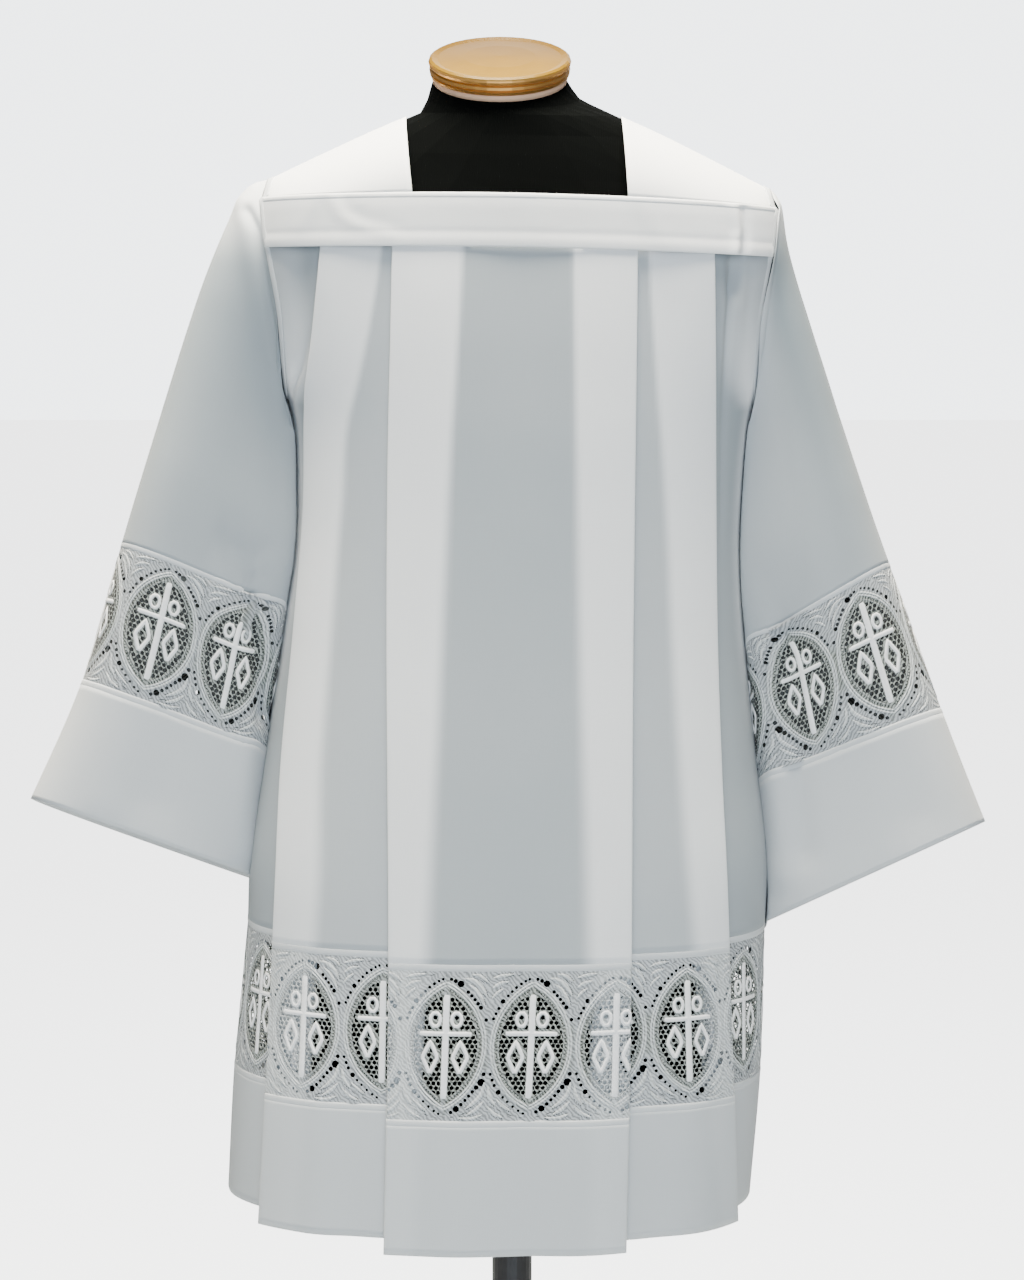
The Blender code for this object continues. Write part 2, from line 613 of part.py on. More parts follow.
def make_sleeve(side, where, cloth, lace):
    """A sleeve, the two halves of its lace, and its cuff band."""
    step = 1.2 * SEAM / LACE_WIDTH  # the seam's width as a share of one table row
    top = (0, 0.35, 0.7, 1, 1.5, 2, 2.5, 3, LACE_RING - step)
    wall("sleeve_" + where, *sleeve_grid(side, top, from_armhole=True), cloth, closed=True)
    cuff = (LACE_END + step, (LACE_END + CUFF_END) / 2, CUFF_END)
    wall("cuff_" + where, *sleeve_grid(side, cuff), cloth, closed=True)

    outer, inner = sleeve_grid(side, (LACE_END, LACE_RING))
    half = SLEEVE_COLUMNS // 2
    for name, columns in (("front", list(range(half + 1))), ("back", [*range(half, SLEEVE_COLUMNS), 0])):
        grids = [grid[:, columns].copy() for grid in (outer, inner)]
        lengths = np.linalg.norm(np.diff(grids[0].mean(axis=0), axis=0), axis=1)
        trim = SEAM / 2
        for grid in grids:
            grid[:, 0] += (grid[:, 1] - grid[:, 0]) * trim / lengths[0]
            grid[:, -1] += (grid[:, -2] - grid[:, -1]) * trim / lengths[-1]
        across = np.concatenate(([0.0], np.cumsum(lengths)))
        across -= across[-1] / 2
        up = np.array((0.0, LACE_WIDTH))
        holes = lace_holes(across, up, [])
        cut_wall(f"sleeve_lace_{where}_{name}", *grids, across, up, holes, lace)


# ---------- the dress form ----------
def form_ring(row, columns=24):
    """A ring of the form: a soft oval, tilted to the front."""
    power = 2 / row.square
    points = []
    for column in range(columns):
        angle = math.tau * column / columns
        sine, cosine = math.sin(angle), math.cos(angle)
        deep = row.front if sine > 0 else row.back
        y = -deep * math.copysign(abs(sine) ** power, sine)
        points.append((row.centre + row.half * math.copysign(abs(cosine) ** power, cosine),
                       y * math.cos(row.tilt), row.height + y * math.sin(row.tilt)))
    return points


def make_torso(cover):
    """The covered torso up to its neck. Its shoulders follow the yoke's shoulder line just below the cloth."""
    drop = CLOTH / 2 + FORM_GAP
    depths = ((0.2035, 0.085, 0.080), (0.160, 0.075, 0.072), (0.125, 0.066, 0.063), (0.085, 0.059, 0.057))
    shoulders = [Form(ridge_height(across) - drop, BODY[0].centre, across, front, back, 0.0, 2.0)
                 for across, front, back in depths]
    bm = bmesh.new()
    rings = []
    for row in (*TORSO, *shoulders, *NECK):
        points = form_ring(row)
        if row not in NECK:
            points = fallen(points)
        rings.append([bm.verts.new(p) for p in points])
    for low, high in zip(rings, rings[1:]):
        for j, corner in enumerate(low):
            k = (j + 1) % len(low)
            bm.faces.new((corner, low[k], high[k], high[j]))
    bm.faces.new(rings[0])
    bm.faces.new(rings[-1])
    add_object("form_torso", bm, cover, smooth=60)


def turned(name, profile, finish, steps=32, smooth=35):
    """A solid turned about +Z from a profile of (radius, height) pairs that starts and ends on the axis."""
    bm = bmesh.new()
    line = [bm.verts.new((radius, 0.0, height)) for radius, height in profile]
    edges = [bm.edges.new(pair) for pair in zip(line, line[1:])]
    bmesh.ops.spin(bm, geom=line + edges, axis=(0, 0, 1), cent=(0, 0, 0), angle=math.tau, steps=steps,
                   use_duplicate=False)
    bmesh.ops.remove_doubles(bm, verts=bm.verts, dist=1e-5)
    return add_object(name, bm, finish, smooth)


def make_neck(cap_finish, strip_finish):
    """The gilt cap with its two grooves, and the bare strip below it, on the neck's tilted top."""
    low = -CAP_HEIGHT
    groove, depth = 0.0012, 0.0014
    profile = [(0.0, low), (CAP_RADIUS - 0.004, low), (CAP_RADIUS - 0.0022, low + 0.001)]
    for level in (0.26, 0.55):
        z = low + CAP_HEIGHT * level
        profile += [(CAP_RADIUS - 0.0012, z - groove), (CAP_RADIUS - 0.0012 - depth, z),
                    (CAP_RADIUS - 0.0008, z + groove)]
    profile += [(CAP_RADIUS, -0.004), (CAP_RADIUS - 0.0008, -0.0014), (CAP_RADIUS - 0.003, 0.0),
                (CAP_RADIUS - 0.008, -0.0012), (CAP_RADIUS * 0.5, 0.0004), (0.0, 0.0012)]
    cap = turned("neck_cap", profile, cap_finish, steps=36, smooth=50)
    strip_top = low - SEAM
    strip = turned("form_neck", [(0.0, strip_top - STRIP_HEIGHT), (STRIP_RADIUS - 0.001, strip_top - STRIP_HEIGHT),
                                 (STRIP_RADIUS, strip_top - STRIP_HEIGHT / 2), (STRIP_RADIUS - 0.001, strip_top),
                                 (0.0, strip_top)], strip_finish, steps=36)
    for piece in (cap, strip):
        piece.location = CAP_CENTRE
        piece.rotation_euler = (CAP_TILT, 0.0, 0.0)


def make_stand(metal):
    """The pole and the round foot that it stands in."""
    collar = 0.030
    pole_low = FOOT_HEIGHT + 0.030
    turned("form_pole", [(0.0, pole_low + SEAM), (POLE_RADIUS, pole_low + SEAM),
                         (POLE_RADIUS, FORM_BOTTOM - SEAM), (0.0, FORM_BOTTOM - SEAM)], metal, steps=24)
    turned("form_base", [(0.0, 0.0), (FOOT_RADIUS - 0.003, 0.0), (FOOT_RADIUS, 0.003), (FOOT_RADIUS, 0.011),
                         (FOOT_RADIUS - 0.006, 0.016), (FOOT_RADIUS * 0.55, 0.021), (collar + 0.014, FOOT_HEIGHT),
                         (collar, FOOT_HEIGHT + 0.010), (collar - 0.003, pole_low), (0.0, pole_low)],
           metal, steps=40)


def main():
    for old in list(bpy.data.objects):
        bpy.data.objects.remove(old, do_unlink=True)
    cloth = material("white_cotton", (0.80, 0.81, 0.82), 0.85)
    lace = material("lace", (0.83, 0.83, 0.81), 0.75)
    cover = material("black_jersey", (0.012, 0.012, 0.014), 0.9)
    bare = material("neck_strip", (0.62, 0.38, 0.27), 0.6)
    gilt = material("gilt", (0.62, 0.38, 0.14), 0.28, 0.9)
    metal = material("stand_metal", (0.05, 0.05, 0.055), 0.4, 0.8)

    for face, where in ((-1, "front"), (1, "back")):
        make_skirt(face, where, cloth, lace)
        make_band(face, where, cloth)
    for side, where in ((-1, "left"), (1, "right")):
        make_shoulder(side, where, cloth)
        make_sleeve(side, where, cloth, lace)
    make_torso(cover)
    make_neck(gilt, bare)
    make_stand(metal)


main()
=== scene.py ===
"""A pleated surplice with lace let into its skirt and sleeves, on a limbless dress form, with its finishes.

Run as a script in Blender 4.5. Metres, +Z up, the front faces -Y, and left and right are as seen from the front.
"""

import math

import bpy
import numpy as np
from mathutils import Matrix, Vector
from mathutils.geometry import delaunay_2d_cdt


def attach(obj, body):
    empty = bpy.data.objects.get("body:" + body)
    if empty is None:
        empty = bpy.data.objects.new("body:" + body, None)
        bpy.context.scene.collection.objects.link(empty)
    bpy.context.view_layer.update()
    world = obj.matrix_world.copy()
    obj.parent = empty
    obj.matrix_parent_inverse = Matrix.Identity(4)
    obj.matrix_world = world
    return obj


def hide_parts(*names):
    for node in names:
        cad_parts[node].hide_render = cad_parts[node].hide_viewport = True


bl_info = {
    "name": "Surplice on a Dress Form",
    "version": (1, 0, 0),
    "blender": (4, 5, 0),
    "location": "3D View > Sidebar > Surplice",
    "description": "Builds a pleated surplice with lace insertions on its dress form",
    "category": "Add Mesh",
}

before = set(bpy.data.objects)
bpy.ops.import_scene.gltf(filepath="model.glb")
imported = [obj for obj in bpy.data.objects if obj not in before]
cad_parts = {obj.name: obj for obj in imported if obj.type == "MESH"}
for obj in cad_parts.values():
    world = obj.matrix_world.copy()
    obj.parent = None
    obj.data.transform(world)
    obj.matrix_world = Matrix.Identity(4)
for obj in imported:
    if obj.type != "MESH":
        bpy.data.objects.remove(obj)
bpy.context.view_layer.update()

SEAM = 0.0004  # the gap between two pieces where a seam joins them
HEM_LEVEL, LACE_LOW, LACE_TOP = 0.482, 0.597, 0.726
LACE_WIDTH = LACE_TOP - LACE_LOW
FACES = ((-1, "front"), (1, "back"))
SIDES = ((-1, "left"), (1, "right"))
EDGE = {-1: 0, 1: -1}  # which point of a line from left to right lies at each side's armhole
BODY_SQUARENESS = 2.4
ARM_TOP, ARM_LOW, ARM_DEPTH = 1.3867, 1.1964, 0.050
ARM_MIDDLE, ARM_REACH = (ARM_TOP + ARM_LOW) / 2, (ARM_TOP - ARM_LOW) / 2
NECK_FRONT = {-1: 0.090, 1: 0.092}
NECK_RIDGE = {-1: 0.097, 1: 0.088}
SHOULDER_FALL, FALL_FROM, FALL_TO = 0.020, 0.90, 1.40
CAP_TILT, CAP_CENTRE = math.radians(18.5), (-0.0105, -0.004, 1.4964)

# Columns: height, droop, centre, half width, depth to the front and back, and the radius the cloth turns at a fold.
BODY = np.array((
    (1.3800, 0.0093, 0.0060, 0.2240, 0.1060, 0.0990, 0.00105),
    (1.3389, 0.0059, 0.0060, 0.2275, 0.1110, 0.1040, 0.00105),
    (1.2700, 0.0, 0.0060, 0.2170, 0.1170, 0.1080, 0.00115),
    (1.2150, 0.0, 0.0070, 0.2060, 0.1200, 0.1085, 0.00125),
    (1.1964, 0.0, 0.0075, 0.2015, 0.1210, 0.1090, 0.00125),
    (1.1100, 0.0, 0.0060, 0.1945, 0.1240, 0.1100, 0.00135),
    (1.0000, 0.0, 0.0020, 0.2010, 0.1300, 0.1140, 0.00145),
    (0.8800, 0.0, -0.0010, 0.2150, 0.1400, 0.1230, 0.00160),
    (0.7790, 0.0, -0.0030, 0.2270, 0.1480, 0.1310, 0.00175),
    (0.7260, 0.0, -0.0050, 0.2270, 0.1520, 0.1350, 0.00180),
    (0.5970, 0.0, -0.0120, 0.2310, 0.1620, 0.1440, 0.00195),
    (0.4820, 0.0, -0.0190, 0.2290, 0.1680, 0.1500, 0.00210),
))[::-1]
LEVELS = BODY[:, 0] - BODY[:, 1]
# The places of the four pleat folds, x, at those levels, left to right.
FOLDS = np.array((
    (-0.160, -0.100, 0.106, 0.171), (-0.1625, -0.101, 0.106, 0.1718), (-0.1700, -0.1025, 0.1055, 0.1730),
    (-0.1765, -0.1040, 0.1050, 0.1738), (-0.1780, -0.1045, 0.1048, 0.1740), (-0.1800, -0.1060, 0.1040, 0.1750),
    (-0.1890, -0.1066, 0.1030, 0.1765), (-0.2000, -0.1058, 0.1024, 0.1805), (-0.2045, -0.1052, 0.1020, 0.1855),
    (-0.2070, -0.1052, 0.1018, 0.1875), (-0.2135, -0.1070, 0.1000, 0.1925), (-0.2200, -0.1096, 0.0977, 0.1970),
))[::-1]
# How wide each pleat is folded under at the hem, at the lace, halfway up and at the yoke, in the same order.
UNDER_LEVELS = (0.482, 0.726, 1.03, 1.34)
UNDER = np.array(((0.046, 0.026, 0.031, 0.028), (0.049, 0.033, 0.037, 0.037), (0.0526, 0.050, 0.0475, 0.050),
                  (0.055, 0.061, 0.055, 0.059)))
# How much higher each pleat hangs at the hem than the one before it, counted outwards from the middle.
STEP = {-1: 0.0125, 1: 0.009}
# Read by height: how much of that step is left, how softly double cloth pales at a pleat's root, how white the side
# seams are, partly their seam allowance lying double and partly painted light in the shade beside the sleeves, and
# how much of its whiteness double cloth keeps.
STEP_KEPT = (HEM_LEVEL, 1.30), (1.0, 0.0)
ROOT_SOFTNESS = (LACE_TOP, 1.10, 1.34), (0.010, 0.006, 0.0025)
SIDE_SEAM_AND_PAINTED_LIGHT = (0.90, 1.02, 1.22, 1.30), (0.0, 1.2, 1.2, 0.3)
DOUBLED_KEPT = (LACE_TOP, 1.10), (0.87, 1.0)

SHOULDER = np.array(((0.085, 1.4485), (0.125, 1.4310), (0.160, 1.4143), (0.2163, ARM_TOP)))

# Columns: outer edge's x and z, inner edge's z and y, and the swell to the front and back.
SLEEVE = {
    -1: ((0.2353, 1.3694, 1.1680, 0.015, 0.053, 0.053), (0.2705, 1.2874, 1.1120, 0.040, 0.064, 0.060),
         (0.3150, 1.1470, 1.0540, 0.055, 0.080, 0.078), (0.3396, 1.0687, 0.9961, 0.060, 0.085, 0.084),
         (0.3748, 0.9531, 0.8760, 0.062, 0.088, 0.090), (0.4205, 0.8503, 0.7657, 0.062, 0.092, 0.096)),
    1: ((0.2320, 1.3640, 1.1680, 0.015, 0.053, 0.053), (0.2496, 1.2961, 1.1040, 0.040, 0.064, 0.060),
        (0.3029, 1.1311, 1.0310, 0.055, 0.080, 0.078), (0.3290, 1.0555, 0.9618, 0.060, 0.085, 0.084),
        (0.3746, 0.9288, 0.8486, 0.062, 0.088, 0.090), (0.4137, 0.8302, 0.7228, 0.062, 0.092, 0.096)),
}
SLEEVE_SQUARENESS, SLEEVE_LIFT, SLEEVE_REST = 2.5, 0.2, 0.0010
FULL_RING, LACE_RING, LACE_END, CUFF_END = 3, 4, 5, 6
# Read by ring: how square the inner wall is, and how closely it follows the body's side, by up to FOLLOW_REACH.
INNER_SQUARENESS = (LACE_RING - 1, LACE_RING + 0.3), (8.0, 3.4)
FOLLOW = (LACE_RING - 0.5, LACE_END, CUFF_END), (1.0, 0.4, 0.0)
FOLLOW_REACH = 0.023
# How far a sleeve's first ring clears the armhole, and how much closer it lies above the yoke band.
SLEEVE_CLEAR, CLOSER_ABOVE = 0.00136, 0.00045

# ---------- creases ----------
# Each crease: the points it runs through (x, z), its half width and its height, below 0 for a trough. The last
# pair gives how strong it is at its first and last point.
BODY_CREASES = {
    -1: (
        (((0.190, 1.326), (0.191, 1.317), (0.190, 1.306)), 0.0075, -0.0085, (1, 0.6)),
        (((0.187, 1.311), (0.184, 1.271), (0.180, 1.189), (0.179, 1.090)), 0.0030, -0.0036, (1, 0.3)),
        (((0.202, 1.322), (0.198, 1.265), (0.191, 1.188), (0.188, 1.103)), 0.010, 0.0020, (0.8, 0.2)),
        (((0.204, 1.325), (0.201, 1.285), (0.197, 1.235)), 0.0050, -0.0022, (1, 0.3)),
        (((-0.175, 1.249), (-0.182, 1.229), (-0.189, 1.212)), 0.0035, -0.0034, (0.2, 1)),
        (((-0.169, 1.246), (-0.177, 1.224), (-0.183, 1.206)), 0.006, 0.0018, (0.3, 1)),
        (((-0.182, 1.328), (-0.179, 1.273), (-0.182, 1.229)), 0.012, -0.0035, (1, 0.5)),
        (((-0.036, 0.803), (-0.042, 0.648), (-0.049, 0.473)), 0.026, 0.0026, (0, 1)),
        (((0.003, 0.871), (0.008, 0.683), (0.014, 0.471)), 0.022, -0.0032, (0, 1)),
        (((0.057, 0.820), (0.060, 0.648), (0.065, 0.473)), 0.024, 0.0026, (0, 1)),
        (((-0.155, 0.800), (-0.162, 0.653), (-0.168, 0.488)), 0.020, 0.0028, (0, 1)),
        (((-0.132, 0.783), (-0.134, 0.644), (-0.137, 0.479)), 0.018, -0.0020, (0, 1)),
        (((0.151, 0.783), (0.155, 0.644), (0.160, 0.479)), 0.022, 0.0028, (0, 1)),
        (((0.123, 0.783), (0.123, 0.644), (0.123, 0.479)), 0.018, -0.0018, (0, 1)),
        (((-0.241, 0.722), (-0.244, 0.607), (-0.246, 0.486)), 0.012, 0.0030, (0, 1)),
        (((-0.067, 1.296), (-0.064, 1.256), (-0.061, 1.182)), 0.018, 0.0014, (0.4, 0)),
        (((0.007, 1.323), (0.008, 1.241), (0.008, 1.106)), 0.030, -0.0018, (1, 0)),
    ),
    1: (
        (((-0.189, 1.325), (-0.190, 1.305), (-0.188, 1.250)), 0.0080, -0.0060, (1, 0.2)),
        (((0.178, 1.246), (0.185, 1.226), (0.191, 1.208)), 0.0040, -0.0034, (0.2, 1)),
        (((0.185, 1.325), (0.181, 1.270), (0.185, 1.230)), 0.013, -0.0032, (1, 0.4)),
        (((0.040, 0.850), (0.034, 0.670), (0.028, 0.473)), 0.025, 0.0028, (0, 1)),
        (((-0.012, 0.880), (-0.018, 0.690), (-0.026, 0.471)), 0.023, -0.0032, (0, 1)),
        (((-0.066, 0.820), (-0.068, 0.650), (-0.072, 0.473)), 0.022, 0.0024, (0, 1)),
        (((0.155, 0.800), (0.161, 0.650), (0.168, 0.488)), 0.021, 0.0027, (0, 1)),
        (((-0.148, 0.790), (-0.154, 0.645), (-0.162, 0.480)), 0.020, 0.0026, (0, 1)),
        (((0.010, 1.320), (0.006, 1.240), (0.004, 1.120)), 0.030, -0.0020, (1, 0)),
    ),
}
BAND_CREASES = {
    -1: (
        (((-0.156, 1.382), (-0.147, 1.361), (-0.131, 1.351), (-0.104, 1.345)), 0.0060, 0.0008, (1, 0.6)),
        (((-0.146, 1.382), (-0.137, 1.364), (-0.121, 1.356), (-0.096, 1.351)), 0.0060, -0.0007, (1, 0.4)),
        (((-0.179, 1.348), (-0.171, 1.361), (-0.164, 1.378)), 0.0070, 0.0009, (0.6, 1)),
        (((0.187, 1.372), (0.191, 1.354), (0.189, 1.334)), 0.0042, 0.0030, (0.6, 1)),
        (((0.197, 1.370), (0.198, 1.348), (0.195, 1.326)), 0.0040, -0.0034, (0.6, 1)),
        (((0.108, 1.377), (0.118, 1.356), (0.134, 1.339)), 0.0090, 0.0008, (1, 0.4)),
        (((0.040, 1.375), (0.037, 1.356), (0.041, 1.339)), 0.014, 0.0007, (1, 1)),
    ),
    1: (
        (((0.150, 1.378), (0.141, 1.360), (0.124, 1.350), (0.100, 1.345)), 0.0055, 0.0016, (1, 0.5)),
        (((-0.186, 1.372), (-0.190, 1.354), (-0.188, 1.334)), 0.0048, 0.0024, (0.6, 1)),
        (((-0.060, 1.375), (-0.064, 1.356), (-0.058, 1.339)), 0.012, 0.0008, (1, 1)),
    ),
}
SLEEVE_CREASES = {
    -1: (
        (((-0.226, 1.364), (-0.218, 1.349), (-0.212, 1.310), (-0.207, 1.278), (-0.196, 1.212), (-0.192, 1.182)),
         0.0042, -0.0042, (0.8, 0.8)),
        (((-0.232, 1.370), (-0.224, 1.322), (-0.216, 1.263)), 0.0090, 0.0028, (1, 0.2)),
        (((-0.228, 1.144), (-0.226, 1.041), (-0.220, 0.984), (-0.216, 0.928)), 0.0075, -0.0080, (0.15, 1)),
        (((-0.239, 1.135), (-0.238, 1.032), (-0.235, 0.945), (-0.234, 0.806)), 0.011, 0.0050, (0.1, 1)),
        (((-0.262, 1.264), (-0.286, 1.085), (-0.312, 0.860)), 0.022, -0.0028, (0.2, 1)),
        (((-0.288, 1.255), (-0.320, 1.066), (-0.352, 0.857)), 0.022, 0.0024, (0.2, 1)),
        (((0.237, 1.264), (0.257, 1.102), (0.287, 0.929)), 0.020, 0.0028, (0.2, 1)),
        (((0.222, 1.187), (0.234, 1.033), (0.254, 0.808)), 0.012, -0.0034, (0.2, 1)),
        (((0.278, 1.186), (0.310, 1.031), (0.349, 0.848)), 0.024, -0.0026, (0.2, 1)),
        (((0.209, 1.370), (0.205, 1.347), (0.201, 1.332)), 0.0050, 0.0022, (1, 1)),
        (((0.221, 1.372), (0.215, 1.325), (0.207, 1.250), (0.203, 1.190)), 0.0050, -0.0036, (0.9, 0.5)),
        (((0.229, 1.368), (0.224, 1.320), (0.215, 1.255)), 0.0090, 0.0030, (1, 0.3)),
        (((0.215, 1.143), (0.221, 0.996), (0.233, 0.787)), 0.010, 0.0026, (0.2, 1)),
    ),
    1: (
        (((-0.225, 1.350), (-0.216, 1.300), (-0.204, 1.240)), 0.0060, -0.0036, (1, 0.5)),
        (((-0.250, 1.270), (-0.272, 1.090), (-0.296, 0.850)), 0.022, 0.0028, (0.2, 1)),
        (((-0.285, 1.250), (-0.318, 1.070), (-0.350, 0.860)), 0.022, -0.0028, (0.2, 1)),
        (((0.226, 1.350), (0.217, 1.300), (0.205, 1.240)), 0.0060, -0.0036, (1, 0.5)),
        (((0.245, 1.250), (0.266, 1.090), (0.296, 0.900)), 0.022, -0.0028, (0.2, 1)),
        (((0.285, 1.230), (0.316, 1.060), (0.350, 0.850)), 0.022, 0.0028, (0.2, 1)),
    ),
}


# ---------- reading the tables ----------
def read(table, at):
    """A value on the straight lines through a table of places and values."""
    return float(np.interp(at, *table))


def curve_between(t, start, end, leave, arrive, step=1.0):
    """A smooth curve from start to end, with its slopes at both."""
    return ((2 * t**3 - 3 * t**2 + 1) * start + (t**3 - 2 * t**2 + t) * step * leave
            + (3 * t**2 - 2 * t**3) * end + (t**3 - t**2) * step * arrive)


def smooth_read(knots, values, at):
    """Values on a smooth curve through a table whose knots rise."""
    knots, values, at = (np.asarray(part, float) for part in (knots, values, at))
    slopes = np.gradient(values, knots)
    i = np.clip(np.searchsorted(knots, at) - 1, 0, len(knots) - 2)
    step = knots[i + 1] - knots[i]
    t = np.clip((at - knots[i]) / step, 0, 1)
    return curve_between(t, values[i], values[i + 1], slopes[i], slopes[i + 1], step)


def ease(low, high, at):
    """0 below low, 1 above high, and a soft rise between them."""
    t = np.clip((np.asarray(at, float) - low) / (high - low), 0, 1)
    return t * t * (3 - 2 * t)


def armhole_depth(height):
    """How far the armhole's edge lies in front of and behind the shoulder line."""
    return ARM_DEPTH * np.sqrt(np.maximum(0.0, 1 - ((height - ARM_MIDDLE) / ARM_REACH) ** 2))


def fallen(points):
    """The points with the upper part let down towards the right shoulder."""
    points = np.array(points, float)
    points[..., 2] -= SHOULDER_FALL * points[..., 0] * ease(FALL_FROM, FALL_TO, points[..., 2])
    return points


def lengths(line):
    """The distance from a line's start to each of its points."""
    return np.concatenate(([0], np.cumsum(np.hypot(*np.diff(line, axis=0).T))))


def from_segment(x, y, start, end):
    """How far along a segment, 0 to 1, it is nearest to each place, and the way from there to the place."""
    (ax, ay), (bx, by) = start, end
    span = (bx - ax) ** 2 + (by - ay) ** 2
    t = np.clip(((x - ax) * (bx - ax) + (y - ay) * (by - ay)) / span, 0, 1)
    return t, x - ax - t * (bx - ax), y - ay - t * (by - ay)


def creased(x, z, creases):
    """How far creases raise the cloth at these places."""
    height = np.zeros(np.broadcast(x, z).shape)
    for path, width, rise, ends in creases:
        best, strong = np.full(height.shape, np.inf), np.ones(height.shape)
        before = lengths(path)
        for a, b, start, stop in zip(path, path[1:], before, before[1:]):
            t, dx, dz = from_segment(x, z, a, b)
            away = np.hypot(dx, dz)
            nearer = away < best
            best = np.where(nearer, away, best)
            share = (start + t * (stop - start)) / before[-1]
            strong = np.where(nearer, ends[0] + (ends[1] - ends[0]) * share, strong)
        height += rise * strong * np.exp(-(best / width) ** 2)
    return height


# ---------- the body's outline ----------
class Outline:
    """One side of the body at one height, read by the distance along it from its middle."""

    POINTS = 1441  # points of the outline, from one end to the other
    REACH = 0.004  # how far to each side of a place the outline's direction there is taken from

    def __init__(self, height, face):
        self.height, self.face = height, face
        self.droop = read((LEVELS, BODY[:, 1]), height)
        centre, half, front, back, self.turn = (
            float(smooth_read(LEVELS, BODY[:, column], height)) for column in (2, 3, 4, 5, 6))
        deep = front if face < 0 else back
        end = max(float(armhole_depth(height)), 0.7 * SEAM)
        widest = math.acos((end / deep) ** (BODY_SQUARENESS / 2))
        angle = np.linspace(-widest, widest, self.POINTS)
        power = 2 / BODY_SQUARENESS
        self.x = centre + half * np.sign(angle) * np.abs(np.sin(angle)) ** power
        self.y = face * deep * np.abs(np.cos(angle)) ** power
        self.along = np.concatenate(([0.0], np.cumsum(np.hypot(np.diff(self.x), np.diff(self.y)))))
        self.along -= np.interp(centre, self.x, self.along)

    def place(self, x):
        return float(np.interp(x, self.x, self.along))

    def level(self, along):
        """The height of the cloth's level line, which droops towards its ends."""
        reach = np.where(along < 0, -self.along[0], self.along[-1])
        return self.height + self.droop * (1 - (along / reach) ** 2)

    def points(self, along, depth=0.0):
        """Points at distances along the outline, moved inwards by a depth, and the way out at each."""
        x, y = np.interp(along, self.along, self.x), np.interp(along, self.along, self.y)
        before, after = (np.clip(along + d, self.along[0], self.along[-1]) for d in (-self.REACH, self.REACH))
        dx, dy = (np.interp(after, self.along, axis) - np.interp(before, self.along, axis) for axis in (self.x, self.y))
        out = np.stack((-self.face * dy, self.face * dx), -1) / np.hypot(dx, dy)[..., None]
        return np.stack((x, y), -1) - out * np.asarray(depth)[..., None], out


def body_side(y, height, side):
    """How far out to one side the body reaches at these depths and heights, x times side."""
    deep = np.where(y < 0, smooth_read(LEVELS, BODY[:, 4], height), smooth_read(LEVELS, BODY[:, 5], height))
    share = np.maximum(0.0, 1 - np.abs(y / deep) ** BODY_SQUARENESS) ** (1 / BODY_SQUARENESS)
    return side * smooth_read(LEVELS, BODY[:, 2], height) + smooth_read(LEVELS, BODY[:, 3], height) * share


# ---------- pleats ----------
COUNTS = (30, 24, 40)  # columns of the cloth that shows, from the middle outwards
EDGE_COUNT, BACK_COUNT, ROOT_COUNT = 7, 9, 5  # columns round a pleat's edge, across its back and round its root
OUTSIDE_PAINTED_LIGHT = 0.14  # painted light on single cloth outside the inner pleats, against the folds' shade
# By the side seams the cloth is whiter: partly its seam allowance lying double, partly painted light in the shade
# between sleeve and body. All the outermost cloth gets a painted shade, standing in for the sleeve's shadow.
SIDE_FROM, SIDE_TO, SIDE_PAINTED_SHADE = 0.055, 0.015, 0.1  # where that whiteness starts and ends, and a painted shade


def half_section(folds, end, turn, soft, seam):
    """Cloth from the middle of the box panel to one side seam: distance along, depth, layers passed, how far the
    cloth lies double there, with painted light and shade added in, and how deep in the pleat it lies."""
    runs = []
    before, sunk = 0.0, 0.0

    def run(*parts):
        runs.append(np.broadcast_arrays(*parts))

    def base(along):
        return sunk * np.clip((edge - along) / (edge - before), 0, None)

    for passed, ((place, under), count) in enumerate(zip(folds, COUNTS)):
        root, edge = place - under, place - turn
        top = before + (edge - before) * np.linspace(0, 1, count)
        # Single cloth outside the inner pleats gets painted light, lifting the shade beside their folds.
        single = OUTSIDE_PAINTED_LIGHT * min(passed, 1)
        run(top, base(top), passed, single + (1 - single) * ease(root - soft, root + soft, top), 0)
        bend = np.linspace(0, np.pi, EDGE_COUNT)[1:-1]
        run(edge + turn * np.sin(bend), turn * (1 - np.cos(bend)), passed, 1, bend / np.pi)
        back = np.linspace(edge, root + turn, BACK_COUNT)
        share = (edge - back) / (edge - root - turn)
        run(back, base(back) + 2 * turn, passed + 0.5 * share, 1, 1)
        bend = np.linspace(0, np.pi, ROOT_COUNT)[1:-1]
        run(root + turn * (1 - np.sin(bend)), base(root) + turn * (3 - np.cos(bend)), passed + 0.5, 1,
            1 + bend / np.pi)
        out = np.linspace(root + turn, place, BACK_COUNT)[:-1]
        share = (out - root - turn) / (place - root - turn)
        run(out, base(out) * (1 - share) + 4 * turn, passed + 0.5 + 0.5 * share, 1, 2)
        before, sunk = place, 4 * turn
    # The outermost cloth: a painted shade for the sleeve's shadow, and whiter by the side seam, partly its seam
    # allowance and partly painted light.
    last = before + (end - before) * np.linspace(0, 1, COUNTS[-1])
    run(last, sunk * (1 - (last - before) / (end - before)), len(folds),
        seam * ease(end - SIDE_FROM, end - SIDE_TO, last) - SIDE_PAINTED_SHADE, 0)
    return [np.concatenate(part) for part in zip(*runs)]


